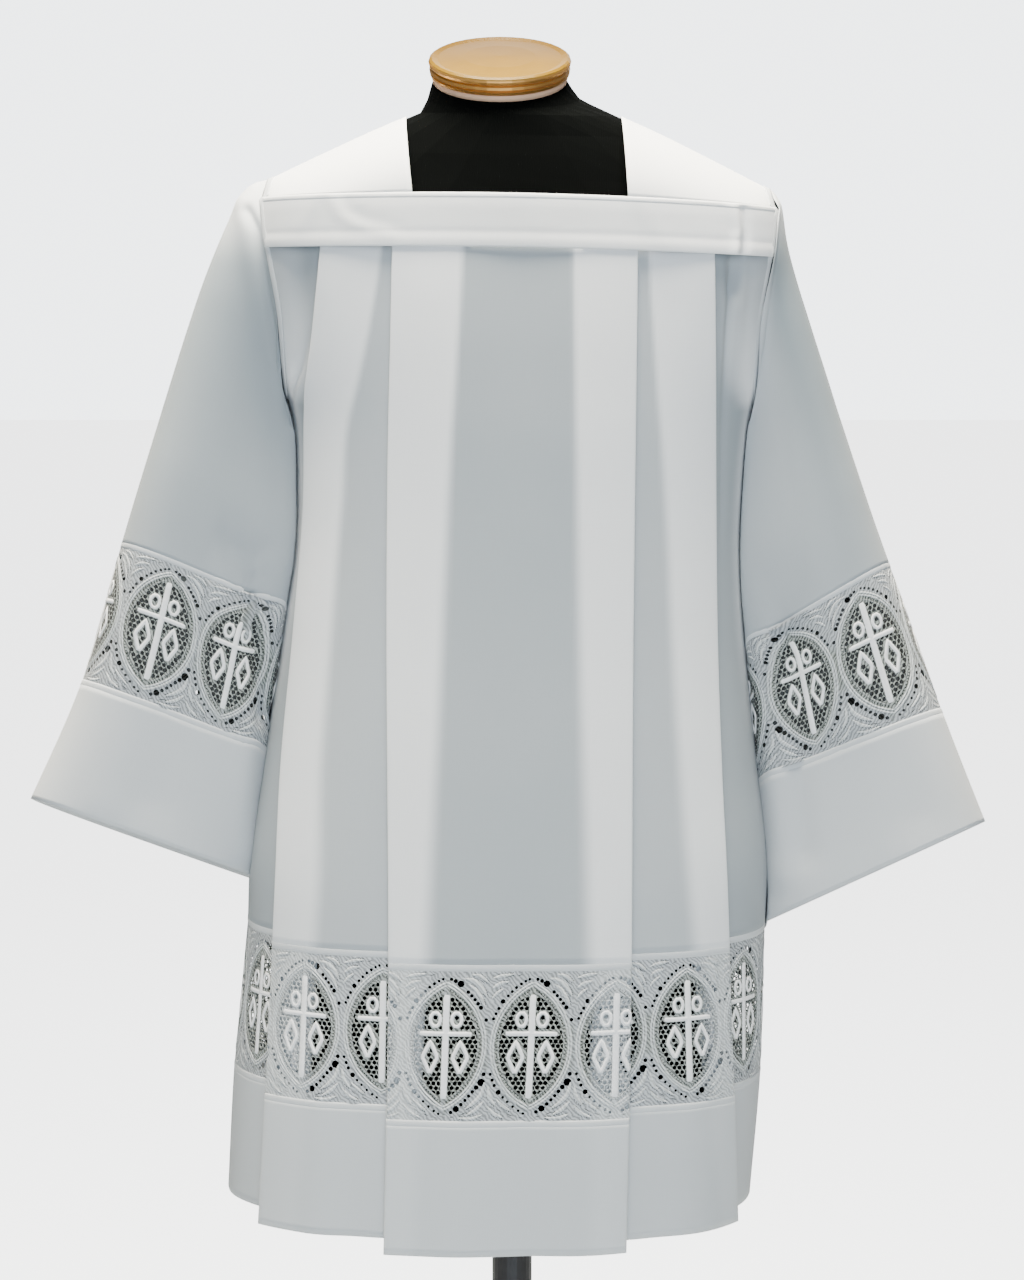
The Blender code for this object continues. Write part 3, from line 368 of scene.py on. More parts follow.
def skirt_section(height, face):
    """One level of a pleated piece: plan points, ways out, and what half_section tells, from left to right."""
    outline = Outline(height, face)
    step, soft, seam, kept = (read(table, height)
                              for table in (STEP_KEPT, ROOT_SOFTNESS, SIDE_SEAM_AND_PAINTED_LIGHT, DOUBLED_KEPT))
    halves = []
    for side, columns in ((-1, (1, 0)), (1, (2, 3))):
        folds = [(side * outline.place(smooth_read(LEVELS, FOLDS[:, column], height)),
                  float(smooth_read(UNDER_LEVELS, UNDER[:, column], height))) for column in columns]
        end = side * outline.along[EDGE[side]]
        along, depth, passed, doubled_and_painted_light, layer = half_section(folds, end, outline.turn, soft, seam)
        halves.append(np.stack((side * along, depth, STEP[side] * passed * step, doubled_and_painted_light, layer), 1))
    along, depth, lift, doubled_and_painted_light, layer = np.concatenate((halves[0][:0:-1], halves[1])).T
    plan, out = outline.points(along, depth)
    return np.column_stack((plan, outline.level(along) + lift)), out, along, doubled_and_painted_light * kept, layer


def plan_normals(points, face):
    """Level normals of a line of points, seen from above, outwards on the front layer."""
    step = np.gradient(points[:, :2], axis=0)
    step /= np.maximum(np.linalg.norm(step, axis=1), 1e-9)[:, None]
    return np.stack((-face * step[:, 1], face * step[:, 0]), 1)


# ---------- meshes ----------
def link_object(name, data):
    made = bpy.data.objects.new(name, data)
    bpy.context.scene.collection.objects.link(made)
    return made


def cloth_mesh(name, points, faces, uv, finish):
    """A smooth mesh with a place on the flat cloth for each of its corners."""
    mesh = bpy.data.meshes.new(name)
    mesh.from_pydata(points.tolist(), [], faces)
    mesh.uv_layers.new(name="UVMap").data.foreach_set("uv", uv.astype(np.float32).reshape(-1))
    mesh.shade_smooth()
    mesh.materials.append(finish)
    return mesh


def shell(name, grid, normal, thick, flat, doubled_and_painted_light, closed=False):
    """A thin closed wall of cotton about a grid of points (rows by columns). closed joins its columns.

    flat holds the cloth's own distances for the UV map, with one more column where closed, and the whiteness mark how
    far the cloth at each point looks double, with painted light and shade added in.
    """
    rows, columns = grid.shape[:2]
    wide = columns + 1 if closed else columns
    points = np.concatenate([(grid + side * normal * thick / 2).reshape(-1, 3) for side in (1, -1)])
    row, column = np.meshgrid(np.arange(rows), np.arange(wide), indexing="ij")
    index, place = row * columns + column % columns, row * wide + column

    def quads(*corners):
        """Faces whose corners each have a slice of rows, a slice of columns, and 0 outside or 1 inside."""
        return np.stack([np.stack((index[c[:2]] + c[2] * rows * columns, place[c[:2]]), -1) for c in corners], -2)

    low, high, left, right = slice(0, rows - 1), slice(1, rows), slice(0, wide - 1), slice(1, wide)
    first, end = slice(0, 1), slice(rows - 1, rows)
    faces = [quads((low, left, 0), (low, right, 0), (high, right, 0), (high, left, 0)),
             quads((high, left, 1), (high, right, 1), (low, right, 1), (low, left, 1)),
             quads((first, right, 0), (first, left, 0), (first, left, 1), (first, right, 1)),
             quads((end, left, 0), (end, right, 0), (end, right, 1), (end, left, 1))]
    if not closed:
        start, stop = slice(0, 1), slice(wide - 1, wide)
        faces += [quads((low, start, 0), (high, start, 0), (high, start, 1), (low, start, 1)),
                  quads((high, stop, 0), (low, stop, 0), (low, stop, 1), (high, stop, 1))]
    faces = np.concatenate([part.reshape(-1, 4, 2) for part in faces])
    a, b, c = (points[faces[0, i, 0]] for i in (0, 1, 2))
    if np.dot(np.cross(b - a, c - a), normal[0, 0]) < 0:
        faces = faces[:, ::-1]
    uv = np.stack([part.reshape(-1) for part in flat], -1)[faces[..., 1].reshape(-1)]
    mesh = cloth_mesh(name, points, faces[..., 0].tolist(), uv, finish_named("surplice_cotton"))
    both = np.tile(np.asarray(doubled_and_painted_light, np.float32).reshape(-1), 2)
    mesh.attributes.new("doubled_and_painted_light", "FLOAT", "POINT").data.foreach_set("value", both)
    return link_object(name, mesh)


def surface_normals(grid, closed=False):
    """Unit normals of a grid of points."""
    if closed:
        wide = np.concatenate((grid[:, -1:], grid, grid[:, :1]), axis=1)
        across = (wide[:, 2:] - wide[:, :-2]) / 2
    else:
        across = np.gradient(grid, axis=1)
    normal = np.cross(np.gradient(grid, axis=0), across)
    return normal / np.maximum(np.linalg.norm(normal, axis=2), 1e-12)[..., None]


def flat_size(grid, closed=False):
    """Distances over a grid of points: along its columns, averaged over the rows, and down its rows."""
    wide = np.concatenate((grid, grid[:, :1]), axis=1) if closed else grid
    across = np.linalg.norm(np.diff(wide, axis=1), axis=2).mean(axis=0)
    down = np.linalg.norm(np.diff(wide, axis=0), axis=2).mean(axis=1)
    u, v = (np.concatenate(([0.0], np.cumsum(part))) for part in (across, down))
    return np.meshgrid(u, v)


# ---------- the body ----------
BAND_COLUMNS = 170  # points across a level strip without pleats


def skirt_grid(heights, face):
    """A pleated piece: its middle surface, its normals, and the marks of its cloth."""
    grid, normal, marks = [], [], []
    for height in heights:
        points, out, along, doubled_and_painted_light, layer = skirt_section(height, face)
        rise = creased(points[:, 0], points[:, 2], BODY_CREASES[face])
        points[:, :2] += out * rise[:, None]
        grid.append(points)
        normal.append(np.column_stack((plan_normals(points, face), 0 * rise)))
        marks.append(np.stack((along, doubled_and_painted_light, layer)))
    marks = np.array(marks).transpose(1, 0, 2)
    return fallen(grid), np.array(normal), marks


def band_grid(heights, face, out_by):
    """A level strip of the body without pleats, standing out from the body's outline."""
    grid, normal = [], []
    for height in heights:
        outline = Outline(height, face)
        along = np.linspace(outline.along[0], outline.along[-1], BAND_COLUMNS)
        z = outline.level(along)
        plan, _ = outline.points(along)
        plan, out = outline.points(along, -out_by(height) - creased(plan[:, 0], z, BAND_CREASES[face]))
        grid.append(np.column_stack((plan, z)))
        normal.append(np.column_stack((out, 0 * along)))
    return fallen(grid), np.array(normal)


# ---------- the yoke's shoulders ----------
TOP_RING = {face: Outline(LEVELS[-1], face) for face in (-1, 1)}


def band_top(x, face):
    """The point of the yoke band's upper edge at this x."""
    outline = TOP_RING[face]
    along = np.array([outline.place(x)])
    return np.array((*outline.points(along)[0][0], outline.level(along)[0]))


ARCH_STEPS = 56
NECK_START = math.radians(8)  # how far up its curve an arch of the shoulder piece starts at the neck


def shoulder_arch(side, ridge):
    """An arch of the shoulder piece from the front band over the shoulder line to the back band."""
    centre = BODY[-1, 2]
    across = (ridge - NECK_RIDGE[side]) / (SHOULDER[-1, 0] - NECK_RIDGE[side])
    front_x = side * NECK_FRONT[side] + centre
    top = np.array((centre + side * ridge, 0.0, float(smooth_read(SHOULDER[:, 0], SHOULDER[:, 1], ridge))))
    arm_start = math.asin((LEVELS[-1] - ARM_MIDDLE) / ARM_REACH)
    start = NECK_START + (arm_start - NECK_START) * across ** 2
    feet = {}
    for face in (-1, 1):
        arm_x = TOP_RING[face].x[EDGE[side]]
        feet[face] = band_top(front_x + (arm_x - front_x) * across, face) + (0, 0, SEAM)
    points = []
    for step in range(ARCH_STEPS + 1):
        foot = feet[-1 if step < ARCH_STEPS / 2 else 1]
        angle = math.pi / 2 - (math.pi / 2 - start) * abs(1 - 2 * step / ARCH_STEPS)
        rise = (math.sin(angle) - math.sin(start)) / (1 - math.sin(start))
        out = math.cos(angle) / math.cos(start)
        points.append((foot[0] + (top[0] - foot[0]) * rise, foot[1] * out, foot[2] + (top[2] - foot[2]) * rise))
    return np.array(points)


# ---------- the sleeves ----------
SLEEVE_COLUMNS = 128
TURN = math.tau * np.arange(SLEEVE_COLUMNS) / SLEEVE_COLUMNS  # from the outer edge round by the front
FOLLOW_LOW, FOLLOW_HIGH = -0.02, 0.03  # heights by the underarm between which the inner wall starts to follow the body
FOLLOW_SHARE = (0.36, 0.72)  # how far inwards on a ring that starts, and where it is full
FRONT_BLEND, TOP_BLEND = 0.3, 0.004  # how softly the creases and the shoulder's room pass into each other


def armhole_ring(side):
    """The first ring of a sleeve: the armhole's edge, moved out until it clears the body's cloth."""
    knots = list(shoulder_arch(side, SHOULDER[-1, 0])[1:-1])
    for face in (-1, 1):
        for height in np.linspace(ARM_LOW, LEVELS[-1], 30):
            knots.append((Outline(height, face).x[EDGE[side]], face * float(armhole_depth(height)), height))
    knots = np.array(knots)
    angles = np.arctan2(-knots[:, 1] / ARM_DEPTH, (knots[:, 2] - ARM_MIDDLE) / ARM_REACH) % math.tau
    order = np.argsort(angles)
    angles, knots = angles[order], knots[order]
    angles = np.concatenate((angles - math.tau, angles, angles + math.tau))
    points = np.column_stack([np.interp(TURN, angles, np.tile(knots[:, axis], 3)) for axis in range(3)])
    above = ease(LEVELS[-1] - TOP_BLEND, LEVELS[-1] + TOP_BLEND, points[:, 2])
    points[:, 0] += side * (SLEEVE_CLEAR - CLOSER_ABOVE * above)
    return points


# Columns of the seam's strip: how far in from the armhole's edge, and how far below the strip's crown.
SEAM_COLUMNS = ((-0.0008, 0.0), (0.0012, 0.0), (0.0034, 0.0), (0.0050, -0.0007))
SEAM_ROWS, SEAM_ON_ARCH, SEAM_ON_BAND = 34, 0.0010, 0.0016
SEAM_PROUD = {-1: 0.0007, 1: 0.0004}


def armhole_seam(side):
    """The body cloth that an armhole's seam raises: a strip up the front, over the shoulder and down the back."""
    columns = []
    for inward, raised in SEAM_COLUMNS:
        front, back = [], []
        for face, points in ((-1, front), (1, back)):
            for height in np.linspace(ARM_LOW + 0.004, LEVELS[-1] - 0.001, SEAM_ROWS):
                outline = Outline(height, face)
                end = outline.along[EDGE[side]] - side * max(inward, 0.0002)
                on_band = float(ease(LEVELS[-2] - 0.006, LEVELS[-2], height))
                proud = raised + SEAM_PROUD[side] + SEAM_ON_BAND * on_band
                (x, y), = outline.points(np.array([end]), np.array([-proud]))[0]
                points.append((x + side * max(-inward, 0), y, height))
        arch = shoulder_arch(side, SHOULDER[-1, 0] - inward)[1:-1] + (0, 0, SEAM_ON_ARCH)
        columns.append(np.array([*front, *arch, *back[::-1]]))
    grid = fallen(np.stack(columns, 1))
    normal = surface_normals(grid)
    return grid, normal * np.sign(np.sum(normal * (grid - (0, 0, ARM_LOW))))


def oval_ring(side, place):
    """A ring of a sleeve between its table rows, starting at its outer edge and going round by the front."""
    first = (side * Outline(ARM_TOP, -1).x[EDGE[side]], ARM_TOP, ARM_LOW, 0.0, ARM_DEPTH, ARM_DEPTH)
    rows = np.array((first, *SLEEVE[side]), float)
    i = min(int(place), len(rows) - 2)
    a, b = rows[i], rows[i + 1]
    leave, arrive = (b - rows[max(i - 1, 0)]) / 2, (rows[min(i + 2, len(rows) - 1)] - a) / 2
    outer_x, outer_z, inner_z, inner_y, front, back = curve_between(place - i, a, b, leave, arrive)
    outer = np.array((side * outer_x, 0.0, outer_z))
    inner = np.array((side * float(body_side(inner_y, inner_z, side) + SLEEVE_REST), inner_y, inner_z))
    grown = min(place / FULL_RING, 1)
    sine, cosine = np.sin(TURN), np.cos(TURN)
    power = 2 / (2 + (np.where(cosine < 0, read(INNER_SQUARENESS, place), SLEEVE_SQUARENESS) - 2) * grown)
    out = np.sign(cosine) * np.abs(cosine) ** power
    ahead = np.sign(sine) * np.abs(sine) ** power * np.where(sine > 0, front, back)
    points = (outer + inner) / 2 + (outer - inner) / 2 * out[:, None]
    points[:, 1] -= ahead
    points[:, 2] += SLEEVE_LIFT * grown * ahead
    # Its inner wall follows the body's side, so that no gap shows between them.
    touch = side * (body_side(points[:, 1], points[:, 2], side) + SLEEVE_REST)
    follow = (cosine < 0) * ease(ARM_LOW + FOLLOW_HIGH, ARM_LOW + FOLLOW_LOW, points[:, 2]) * read(FOLLOW, place)
    nudge = np.clip(side * (touch - points[:, 0]), -FOLLOW_REACH, FOLLOW_REACH)
    points[:, 0] += side * follow * nudge * ease(*FOLLOW_SHARE, np.abs(out))
    rest = side * np.maximum(side * points[:, 0], side * touch)
    points[:, 0] = np.where(points[:, 2] < ARM_LOW, rest, points[:, 0])
    return points


def sleeve_grid(side, places):
    """A stretch of a sleeve: its middle surface and its normals."""
    shift = armhole_ring(side) - oval_ring(side, 0)
    grid = fallen([oval_ring(side, place) + shift * max(0.0, 1 - place) ** 2 for place in places])
    middle = grid.mean(axis=1, keepdims=True)

    def outward():
        normal = surface_normals(grid, closed=True)
        return normal * np.sign(np.sum(normal * (grid - middle)))

    ahead = ease(-FRONT_BLEND, FRONT_BLEND, np.sin(TURN))
    front, back = (creased(grid[..., 0], grid[..., 2], SLEEVE_CREASES[face]) for face in (-1, 1))
    grid = grid + outward() * (ahead * front + (1 - ahead) * back)[..., None]
    return grid, outward()


# ---------- the lace's pattern, in millimetres from the middle of one repeat ----------
REPEAT, LIMIT = 72.8, 62.6  # a repeat's width, and how high and low its gaps may lie
RING_CENTRE, RING_RADIUS = 25.4, 60.6  # a medallion is the space that two such circles share
LADDER, NET_EDGE = (4.7, 6.5), 7.7  # how far in from its outer edge the fine band lies, and where its net starts
THREAD, CELL = 1.0, 4.6
CELL_CLEAR, LEAST_CELL = 0.45, 1.3  # how far a cell keeps from a bar, and its least area
CELL_ROWS, CELL_COLUMNS, ROW_PITCH, CELL_SHIFT = 12, 8, 0.86, 0.35  # rows above and below, cells to each side
CELL_SIZES = (0.94, 1.04)  # the least and greatest size of a cell, as a share of its room
EDGE_CLEAR, CELL_PAST = 0.3, 1.2  # how far a cell is moved in from the net's edge, and how far past it one may start
# The room that a cell must have at last: from a bar, from the net's edge, and from a bar at its middle.
BAR_ROOM, EDGE_ROOM, MIDDLE_ROOM = 0.1, 0.05, 0.4
GAP_ROOM, SIDE_ROOM, HOLE_ROOM = 0.45, 0.3, 0.75  # between two gaps, at a repeat's sides, round a hole at a ring
LADDER_END, SLOT_HALF = 0.03, 0.27  # radians short of a medallion's tips, and half a slot's share of its step


def ring_bar(side, count=12):
    """The points of a small ring above one arm of the cross."""
    turns = np.arange(count) * math.tau / count
    return tuple((side * (9.0 + 4.2 * math.cos(turn)), 22.5 + 6.2 * math.sin(turn)) for turn in turns)


# Raised bars of the medallion: the points they run through, their half width, and whether they close.
BARS = (
    (((0, 43.5), (0, -44.5)), 2.8, False),
    (((-22.0, 10.5), (22.0, 10.5)), 2.0, False),
    (((-12.8, 4.0), (-19.4, -9.5), (-12.8, -23.5), (-6.4, -9.5)), 1.7, True),
    (((12.8, 4.0), (19.4, -9.5), (12.8, -23.5), (6.4, -9.5)), 1.7, True),
    (ring_bar(1), 1.5, True),
    (ring_bar(-1), 1.5, True),
)
# Holes between the medallions, right of one and then left of the next: place and radius.
GAPS_RIGHT = ((3.6, 56.6, 1.1), (7.2, 55.2, 1.3), (11.3, 52.4, 2.1), (14.6, 49.2, 1.8), (17.6, 45.6, 1.2),
              (20.2, 42.2, 1.1), (22.8, 38.9, 1.1), (25.2, 35.4, 1.2), (27.6, 32.0, 1.4), (31.2, 27.0, 2.3),
              (33.3, 22.2, 1.2), (34.7, 18.6, 1.0), (33.8, -23.5, 1.3), (31.0, -30.0, 2.4), (27.4, -34.4, 1.5),
              (24.6, -38.2, 1.2), (21.8, -42.0, 1.1), (18.8, -45.6, 1.1), (15.4, -49.2, 1.2), (11.2, -53.0, 2.0),
              (6.8, -56.0, 1.2))
GAPS_LEFT = ((-3.4, 56.6, 0.9), (-6.8, 55.0, 0.9), (-10.6, 52.6, 1.0), (-14.6, 49.6, 1.0), (-18.2, 46.2, 1.0),
             (-21.4, 42.6, 1.0), (-24.2, 36.9, 1.5), (-20.6, 38.2, 1.0), (-22.6, 33.8, 1.0), (-27.6, 31.2, 1.1),
             (-29.8, 27.0, 1.0), (-31.8, 22.8, 1.0), (-33.4, -23.6, 1.0), (-31.4, -28.6, 1.1), (-29.4, -33.2, 1.1),
             (-25.6, -39.0, 1.6), (-21.6, -43.4, 0.9), (-17.6, -47.2, 0.9), (-12.8, -51.4, 0.9), (-8.0, -55.0, 0.9),
             (-4.0, -57.4, 0.9))
GAP_SCALE = 1.5  # how much larger the holes are than those radii
# Thin gaps between the veins of the leaves: place, length, turn in degrees, half width.
SLITS = ((16.0, 58.6, 8, -10, 0.35), (24.5, 60.2, 9, 12, 0.3), (29.0, 55.0, 9, -38, 0.35), (27.5, 49.5, 8, -52, 0.35),
         (33.0, 46.5, 9, -62, 0.4), (31.0, 39.5, 6, -60, 0.3), (-33.0, 53.0, 8, 24, 0.4), (-27.0, 55.8, 8, 30, 0.4),
         (-20.0, 58.0, 8, 26, 0.35), (-12.0, 60.0, 7, 20, 0.35), (-33.0, 44.0, 8, 66, 0.35), (-28.5, 47.0, 7, 40, 0.3),
         (33.5, -37.0, 9, 68, 0.4), (30.5, -44.0, 9, 60, 0.35), (25.0, -50.5, 8, 45, 0.35), (17.5, -57.0, 9, 24, 0.4),
         (29.5, -57.5, 8, -16, 0.35), (8.0, -60.0, 6, 14, 0.35), (-33.5, -40.0, 8, -70, 0.35),
         (-30.0, -48.5, 9, -50, 0.4), (-24.0, -54.5, 8, -34, 0.35), (-15.0, -58.5, 8, -20, 0.4),
         (-33.0, -57.0, 6, 18, 0.3), (-6.0, -60.8, 6, -10, 0.3))
# Leaves of the sprays: the points their midribs run through, and their greatest half width.
LEAVES = (
    (((13.5, 57.5), (21.5, 56.0), (28.5, 50.5), (34.0, 41.0)), 2.1),
    (((17.5, 53.0), (24.5, 47.5), (29.5, 39.5), (32.5, 32.5)), 1.7),
    (((20.0, 61.0), (27.5, 59.5), (35.0, 53.5)), 1.5),
    (((-35.5, 57.5), (-28.0, 59.5), (-17.0, 61.0)), 1.5),
    (((-35.0, 49.0), (-30.0, 52.5), (-21.0, 54.8)), 1.7),
    (((-35.2, 40.0), (-31.5, 44.5), (-25.5, 49.0)), 1.4),
    (((34.8, -30.5), (32.5, -40.5), (26.5, -47.5), (19.0, -53.0)), 2.0),
    (((35.0, -46.0), (29.0, -53.0), (20.0, -58.5)), 1.7),
    (((34.5, -57.5), (25.0, -61.0), (13.0, -60.5)), 1.4),
    (((-35.0, -33.5), (-33.0, -43.5), (-27.0, -51.0)), 1.8),
    (((-35.2, -50.0), (-29.5, -56.5), (-19.5, -61.0)), 1.6),
    (((-27.5, -45.0), (-22.0, -50.0), (-14.0, -55.5)), 1.4),
)
VEIN_STEP, VEIN_SLANT, VEIN_HALF = 2.5, 24, 0.42  # between two veins, mm, their slant, degrees, and a slit's half width
VEIN_FROM, VEIN_TO, MIDRIB_HALF = 1.6, 2.0, 0.55  # where veins start and stop on a midrib, and its half width
VEIN_SHORT, VEIN_LONG, VEIN_GROWS = 1.2, 4.6, 1.6  # a slit's least and greatest reach, and its growth with the leaf


def inside(points, ring):
    """Whether flat points lie in a closed ring."""
    x, y = points[:, 0], points[:, 1]
    hit = np.zeros(len(points), bool)
    for (ax, ay), (bx, by) in zip(ring, np.roll(ring, -1, axis=0)):
        if ay != by:
            hit ^= ((ay > y) != (by > y)) & (x < (bx - ax) * (y - ay) / (by - ay) + ax)
    return hit


def oval_side(x, y, inset=0.0):
    """How far points lie inside a medallion's edge moved in by inset, below 0 outside it."""
    return RING_RADIUS - inset - np.hypot(np.abs(x) + RING_CENTRE, y)


def bar_line(points, close):
    return np.array(points + points[:1] if close else points, float)


def off_bars(x, y):
    """How far points lie from the nearest bar's edge, and the way away from it."""
    best = np.full(np.shape(x), np.inf)
    way = np.zeros((*np.shape(x), 2))
    for points, half, close in BARS:
        line = bar_line(points, close)
        for start, end in zip(line, line[1:]):
            _, dx, dy = from_segment(x, y, start, end)
            far = np.hypot(dx, dy)
            nearer = far - half < best
            best = np.where(nearer, far - half, best)
            way[nearer] = np.stack((dx, dy), -1)[nearer] / np.maximum(far, 1e-6)[nearer][..., None]
    return best, way


def area_of(ring):
    x, y = ring.T
    return abs(np.sum(x * np.roll(y, -1) - y * np.roll(x, -1))) / 2


def fitted_cell(x, y, radius):
    """A cell of the net, its corners moved clear of the bars and of the net's edge."""
    corners = math.tau * (np.arange(6) + 0.5) / 6
    ring = np.stack((x + radius * np.cos(corners), y + radius * np.sin(corners)), 1)
    for _ in range(5):
        gap, way = off_bars(*ring.T)
        ring += way * np.clip(CELL_CLEAR - gap, 0, None)[:, None]
        short = np.clip(EDGE_CLEAR - oval_side(*ring.T, NET_EDGE), 0, None)
        to_middle = -np.stack((np.sign(ring[:, 0]) * (np.abs(ring[:, 0]) + RING_CENTRE), ring[:, 1]), 1)
        ring += to_middle / np.linalg.norm(to_middle, axis=1)[:, None] * short[:, None]
    return ring


def net_cells():
    """The open cells of a medallion's net, shaped to the bars and the edge they meet."""
    rng = np.random.default_rng(7)
    cells = []
    for row in range(-CELL_ROWS, CELL_ROWS + 1):
        for column in range(-CELL_COLUMNS, CELL_COLUMNS + 1):
            place = ((column + 0.5 * (row % 2)) * CELL, row * CELL * ROW_PITCH)
            x, y = np.array(place) + rng.uniform(-CELL_SHIFT, CELL_SHIFT, 2)
            if oval_side(x, y, NET_EDGE) < -CELL_PAST:
                continue
            ring = fitted_cell(x, y, (CELL - THREAD) / 2 / math.cos(math.pi / 6) * rng.uniform(*CELL_SIZES))
            clear = off_bars(*ring.T)[0].min() > BAR_ROOM and oval_side(*ring.T, NET_EDGE).min() > EDGE_ROOM
            if area_of(ring) > LEAST_CELL and clear and off_bars(*ring.mean(axis=0)[:, None])[0][0] > MIDDLE_ROOM:
                cells.append(ring)
    return cells


def ladder_gaps(count=44):
    """The fine slots of the band inside a medallion's ring."""
    gaps = []
    tip = math.acos(RING_CENTRE / (RING_RADIUS - LADDER[1])) - LADDER_END
    half = SLOT_HALF * tip / count
    for side in (-1, 1):
        for step in range(count):
            angle = tip * (2 * (step + 0.5) / count - 1)
            ring = []
            for inset, turn in ((LADDER[0], -half), (LADDER[0], half), (LADDER[1], half), (LADDER[1], -half)):
                radius = RING_RADIUS - inset
                ring.append((side * (radius * math.cos(angle + turn) - RING_CENTRE), radius * math.sin(angle + turn)))
            gaps.append(np.array(ring))
    return gaps


def round_gap(x, y, radius, corners=7):
    """A round hole, moved off the medallion's ring where it would touch it."""
    away = np.array((x + math.copysign(RING_CENTRE, x), y))
    x, y = np.array((x, y)) + away / np.linalg.norm(away) * max(0.0, radius + HOLE_ROOM + oval_side(x, y))
    turn = math.tau * np.arange(corners) / corners + x
    return np.stack((x + radius * np.cos(turn), y + radius * np.sin(turn)), 1)


def slit(x, y, length, degrees, half):
    """A thin gap, pointed at both ends."""
    a = math.radians(degrees)
    along, aside = np.array((math.cos(a), math.sin(a))) * length / 2, np.array((-math.sin(a), math.cos(a))) * half
    middle = np.array((x, y))
    return np.array([middle - along, middle - aside, middle + along, middle + aside])


def vein_gaps():
    """The slits between a leaf's veins, slanting out from both sides of its midrib."""
    gaps = []
    for points, half in LEAVES:
        line = np.array(points, float)
        steps = lengths(line)
        for place in np.arange(VEIN_FROM, steps[-1] - VEIN_TO, VEIN_STEP):
            here, ahead = (np.array([smooth_read(steps, line[:, axis], at) for axis in (0, 1)])
                           for at in (place, place + 0.5))
            x, y = (ahead - here) / np.linalg.norm(ahead - here)
            reach = min(VEIN_LONG, VEIN_SHORT + VEIN_GROWS * half * math.sin(math.pi * place / steps[-1]) ** 0.6)
            for side in (-1, 1):
                a = math.radians(VEIN_SLANT * side)
                slant = np.array((x * math.cos(a) - y * math.sin(a), x * math.sin(a) + y * math.cos(a)))
                aside = np.array((-slant[1], slant[0])) * VEIN_HALF
                start = here + np.array((-y, x)) * side * MIDRIB_HALF
                end = start + slant * reach
                middle = start * 0.45 + end * 0.55
                gaps.append(np.array((start, middle - aside, end, middle + aside)))
    return gaps


def spread_out(gaps):
    """The gaps that keep a thread's width from those before them and from the ring."""
    kept = []
    for gap in gaps:
        x, y = gap.T
        if max(oval_side(x, y).max(), oval_side(REPEAT - np.abs(x), y).max()) > -GAP_ROOM:
            continue
        if np.abs(y).max() > LIMIT or np.abs(x).max() > REPEAT / 2 - SIDE_ROOM:
            continue
        near = [other for other in kept if np.abs(other.mean(axis=0) - gap.mean(axis=0)).max() < 7]
        if all(np.linalg.norm(other[:, None] - gap[None], axis=2).min() > GAP_ROOM
               and not inside(gap, other).any() and not inside(other, gap).any() for other in near):
            kept.append(gap)
    return kept


CELLS = net_cells()
ROUND_GAPS = [round_gap(x, y, GAP_SCALE * radius) for x, y, radius in GAPS_RIGHT + GAPS_LEFT]
FINE_GAPS = ladder_gaps() + spread_out(ROUND_GAPS + vein_gaps() + [slit(*entry) for entry in SLITS])


# How white the lace's threads are: its ground outside a medallion and within it, its leaves and rings, its bars.
GROUND_WHITE, NET_WHITE, LEAF_WHITE, BAR_WHITE = 0.4, 0.15, 0.62, 1.0
# The rings inside a medallion's edge: how far in, half width, height and whiteness.
RINGS = ((0.9, 0.9, 0.5, LEAF_WHITE), (3.2, 0.8, 0.5, LEAF_WHITE), (NET_EDGE - 0.5, 0.4, 0.35, 0.3))
BAR_HEIGHT, BAR_STEP, LEAF_HEIGHT = 0.75, 3.2, 0.45
RING_POINTS, LEAF_POINTS = 41, 9


def ribbon_lines():
    """Every raised bar of one repeat: points along its middle, half widths, heights, and how white it is."""
    lines = []
    for side in (-1, 1):
        for inset, half, high, white in RINGS:
            radius = RING_RADIUS - inset
            end = math.acos(RING_CENTRE / radius)
            angle = np.linspace(-end, end, RING_POINTS)
            points = np.stack((side * (radius * np.cos(angle) - RING_CENTRE), radius * np.sin(angle)), 1)
            lines.append((points, np.full(RING_POINTS, half), high, white, False))
    for points, half, close in BARS:
        line = bar_line(points, close)
        steps = lengths(line)
        count = max(6, int(steps[-1] / BAR_STEP))
        places = np.linspace(0, steps[-1], count + 1)[:count + (not close)]
        fine = np.stack([np.interp(places, steps, line[:, axis]) for axis in (0, 1)], 1)
        lines.append((fine, np.full(len(fine), half), BAR_HEIGHT, BAR_WHITE, close))
    for points, half in LEAVES:
        line = np.array(points, float)
        steps = lengths(line)
        places = np.linspace(0, steps[-1], LEAF_POINTS)
        fine = np.stack([smooth_read(steps, line[:, axis], places) for axis in (0, 1)], 1)
        width = half * np.sin(np.pi * np.linspace(0.04, 0.99, LEAF_POINTS)) ** 0.7
        lines.append((fine, width, LEAF_HEIGHT, LEAF_WHITE, False))
    return lines


RIBBONS = ribbon_lines()
# A bar's section: places across it and heights, as shares of its half width and height.
PROFILE = np.array(((-1.0, 0.0), (-0.62, 0.8), (0.0, 1.0), (0.62, 0.8), (1.0, 0.0)))


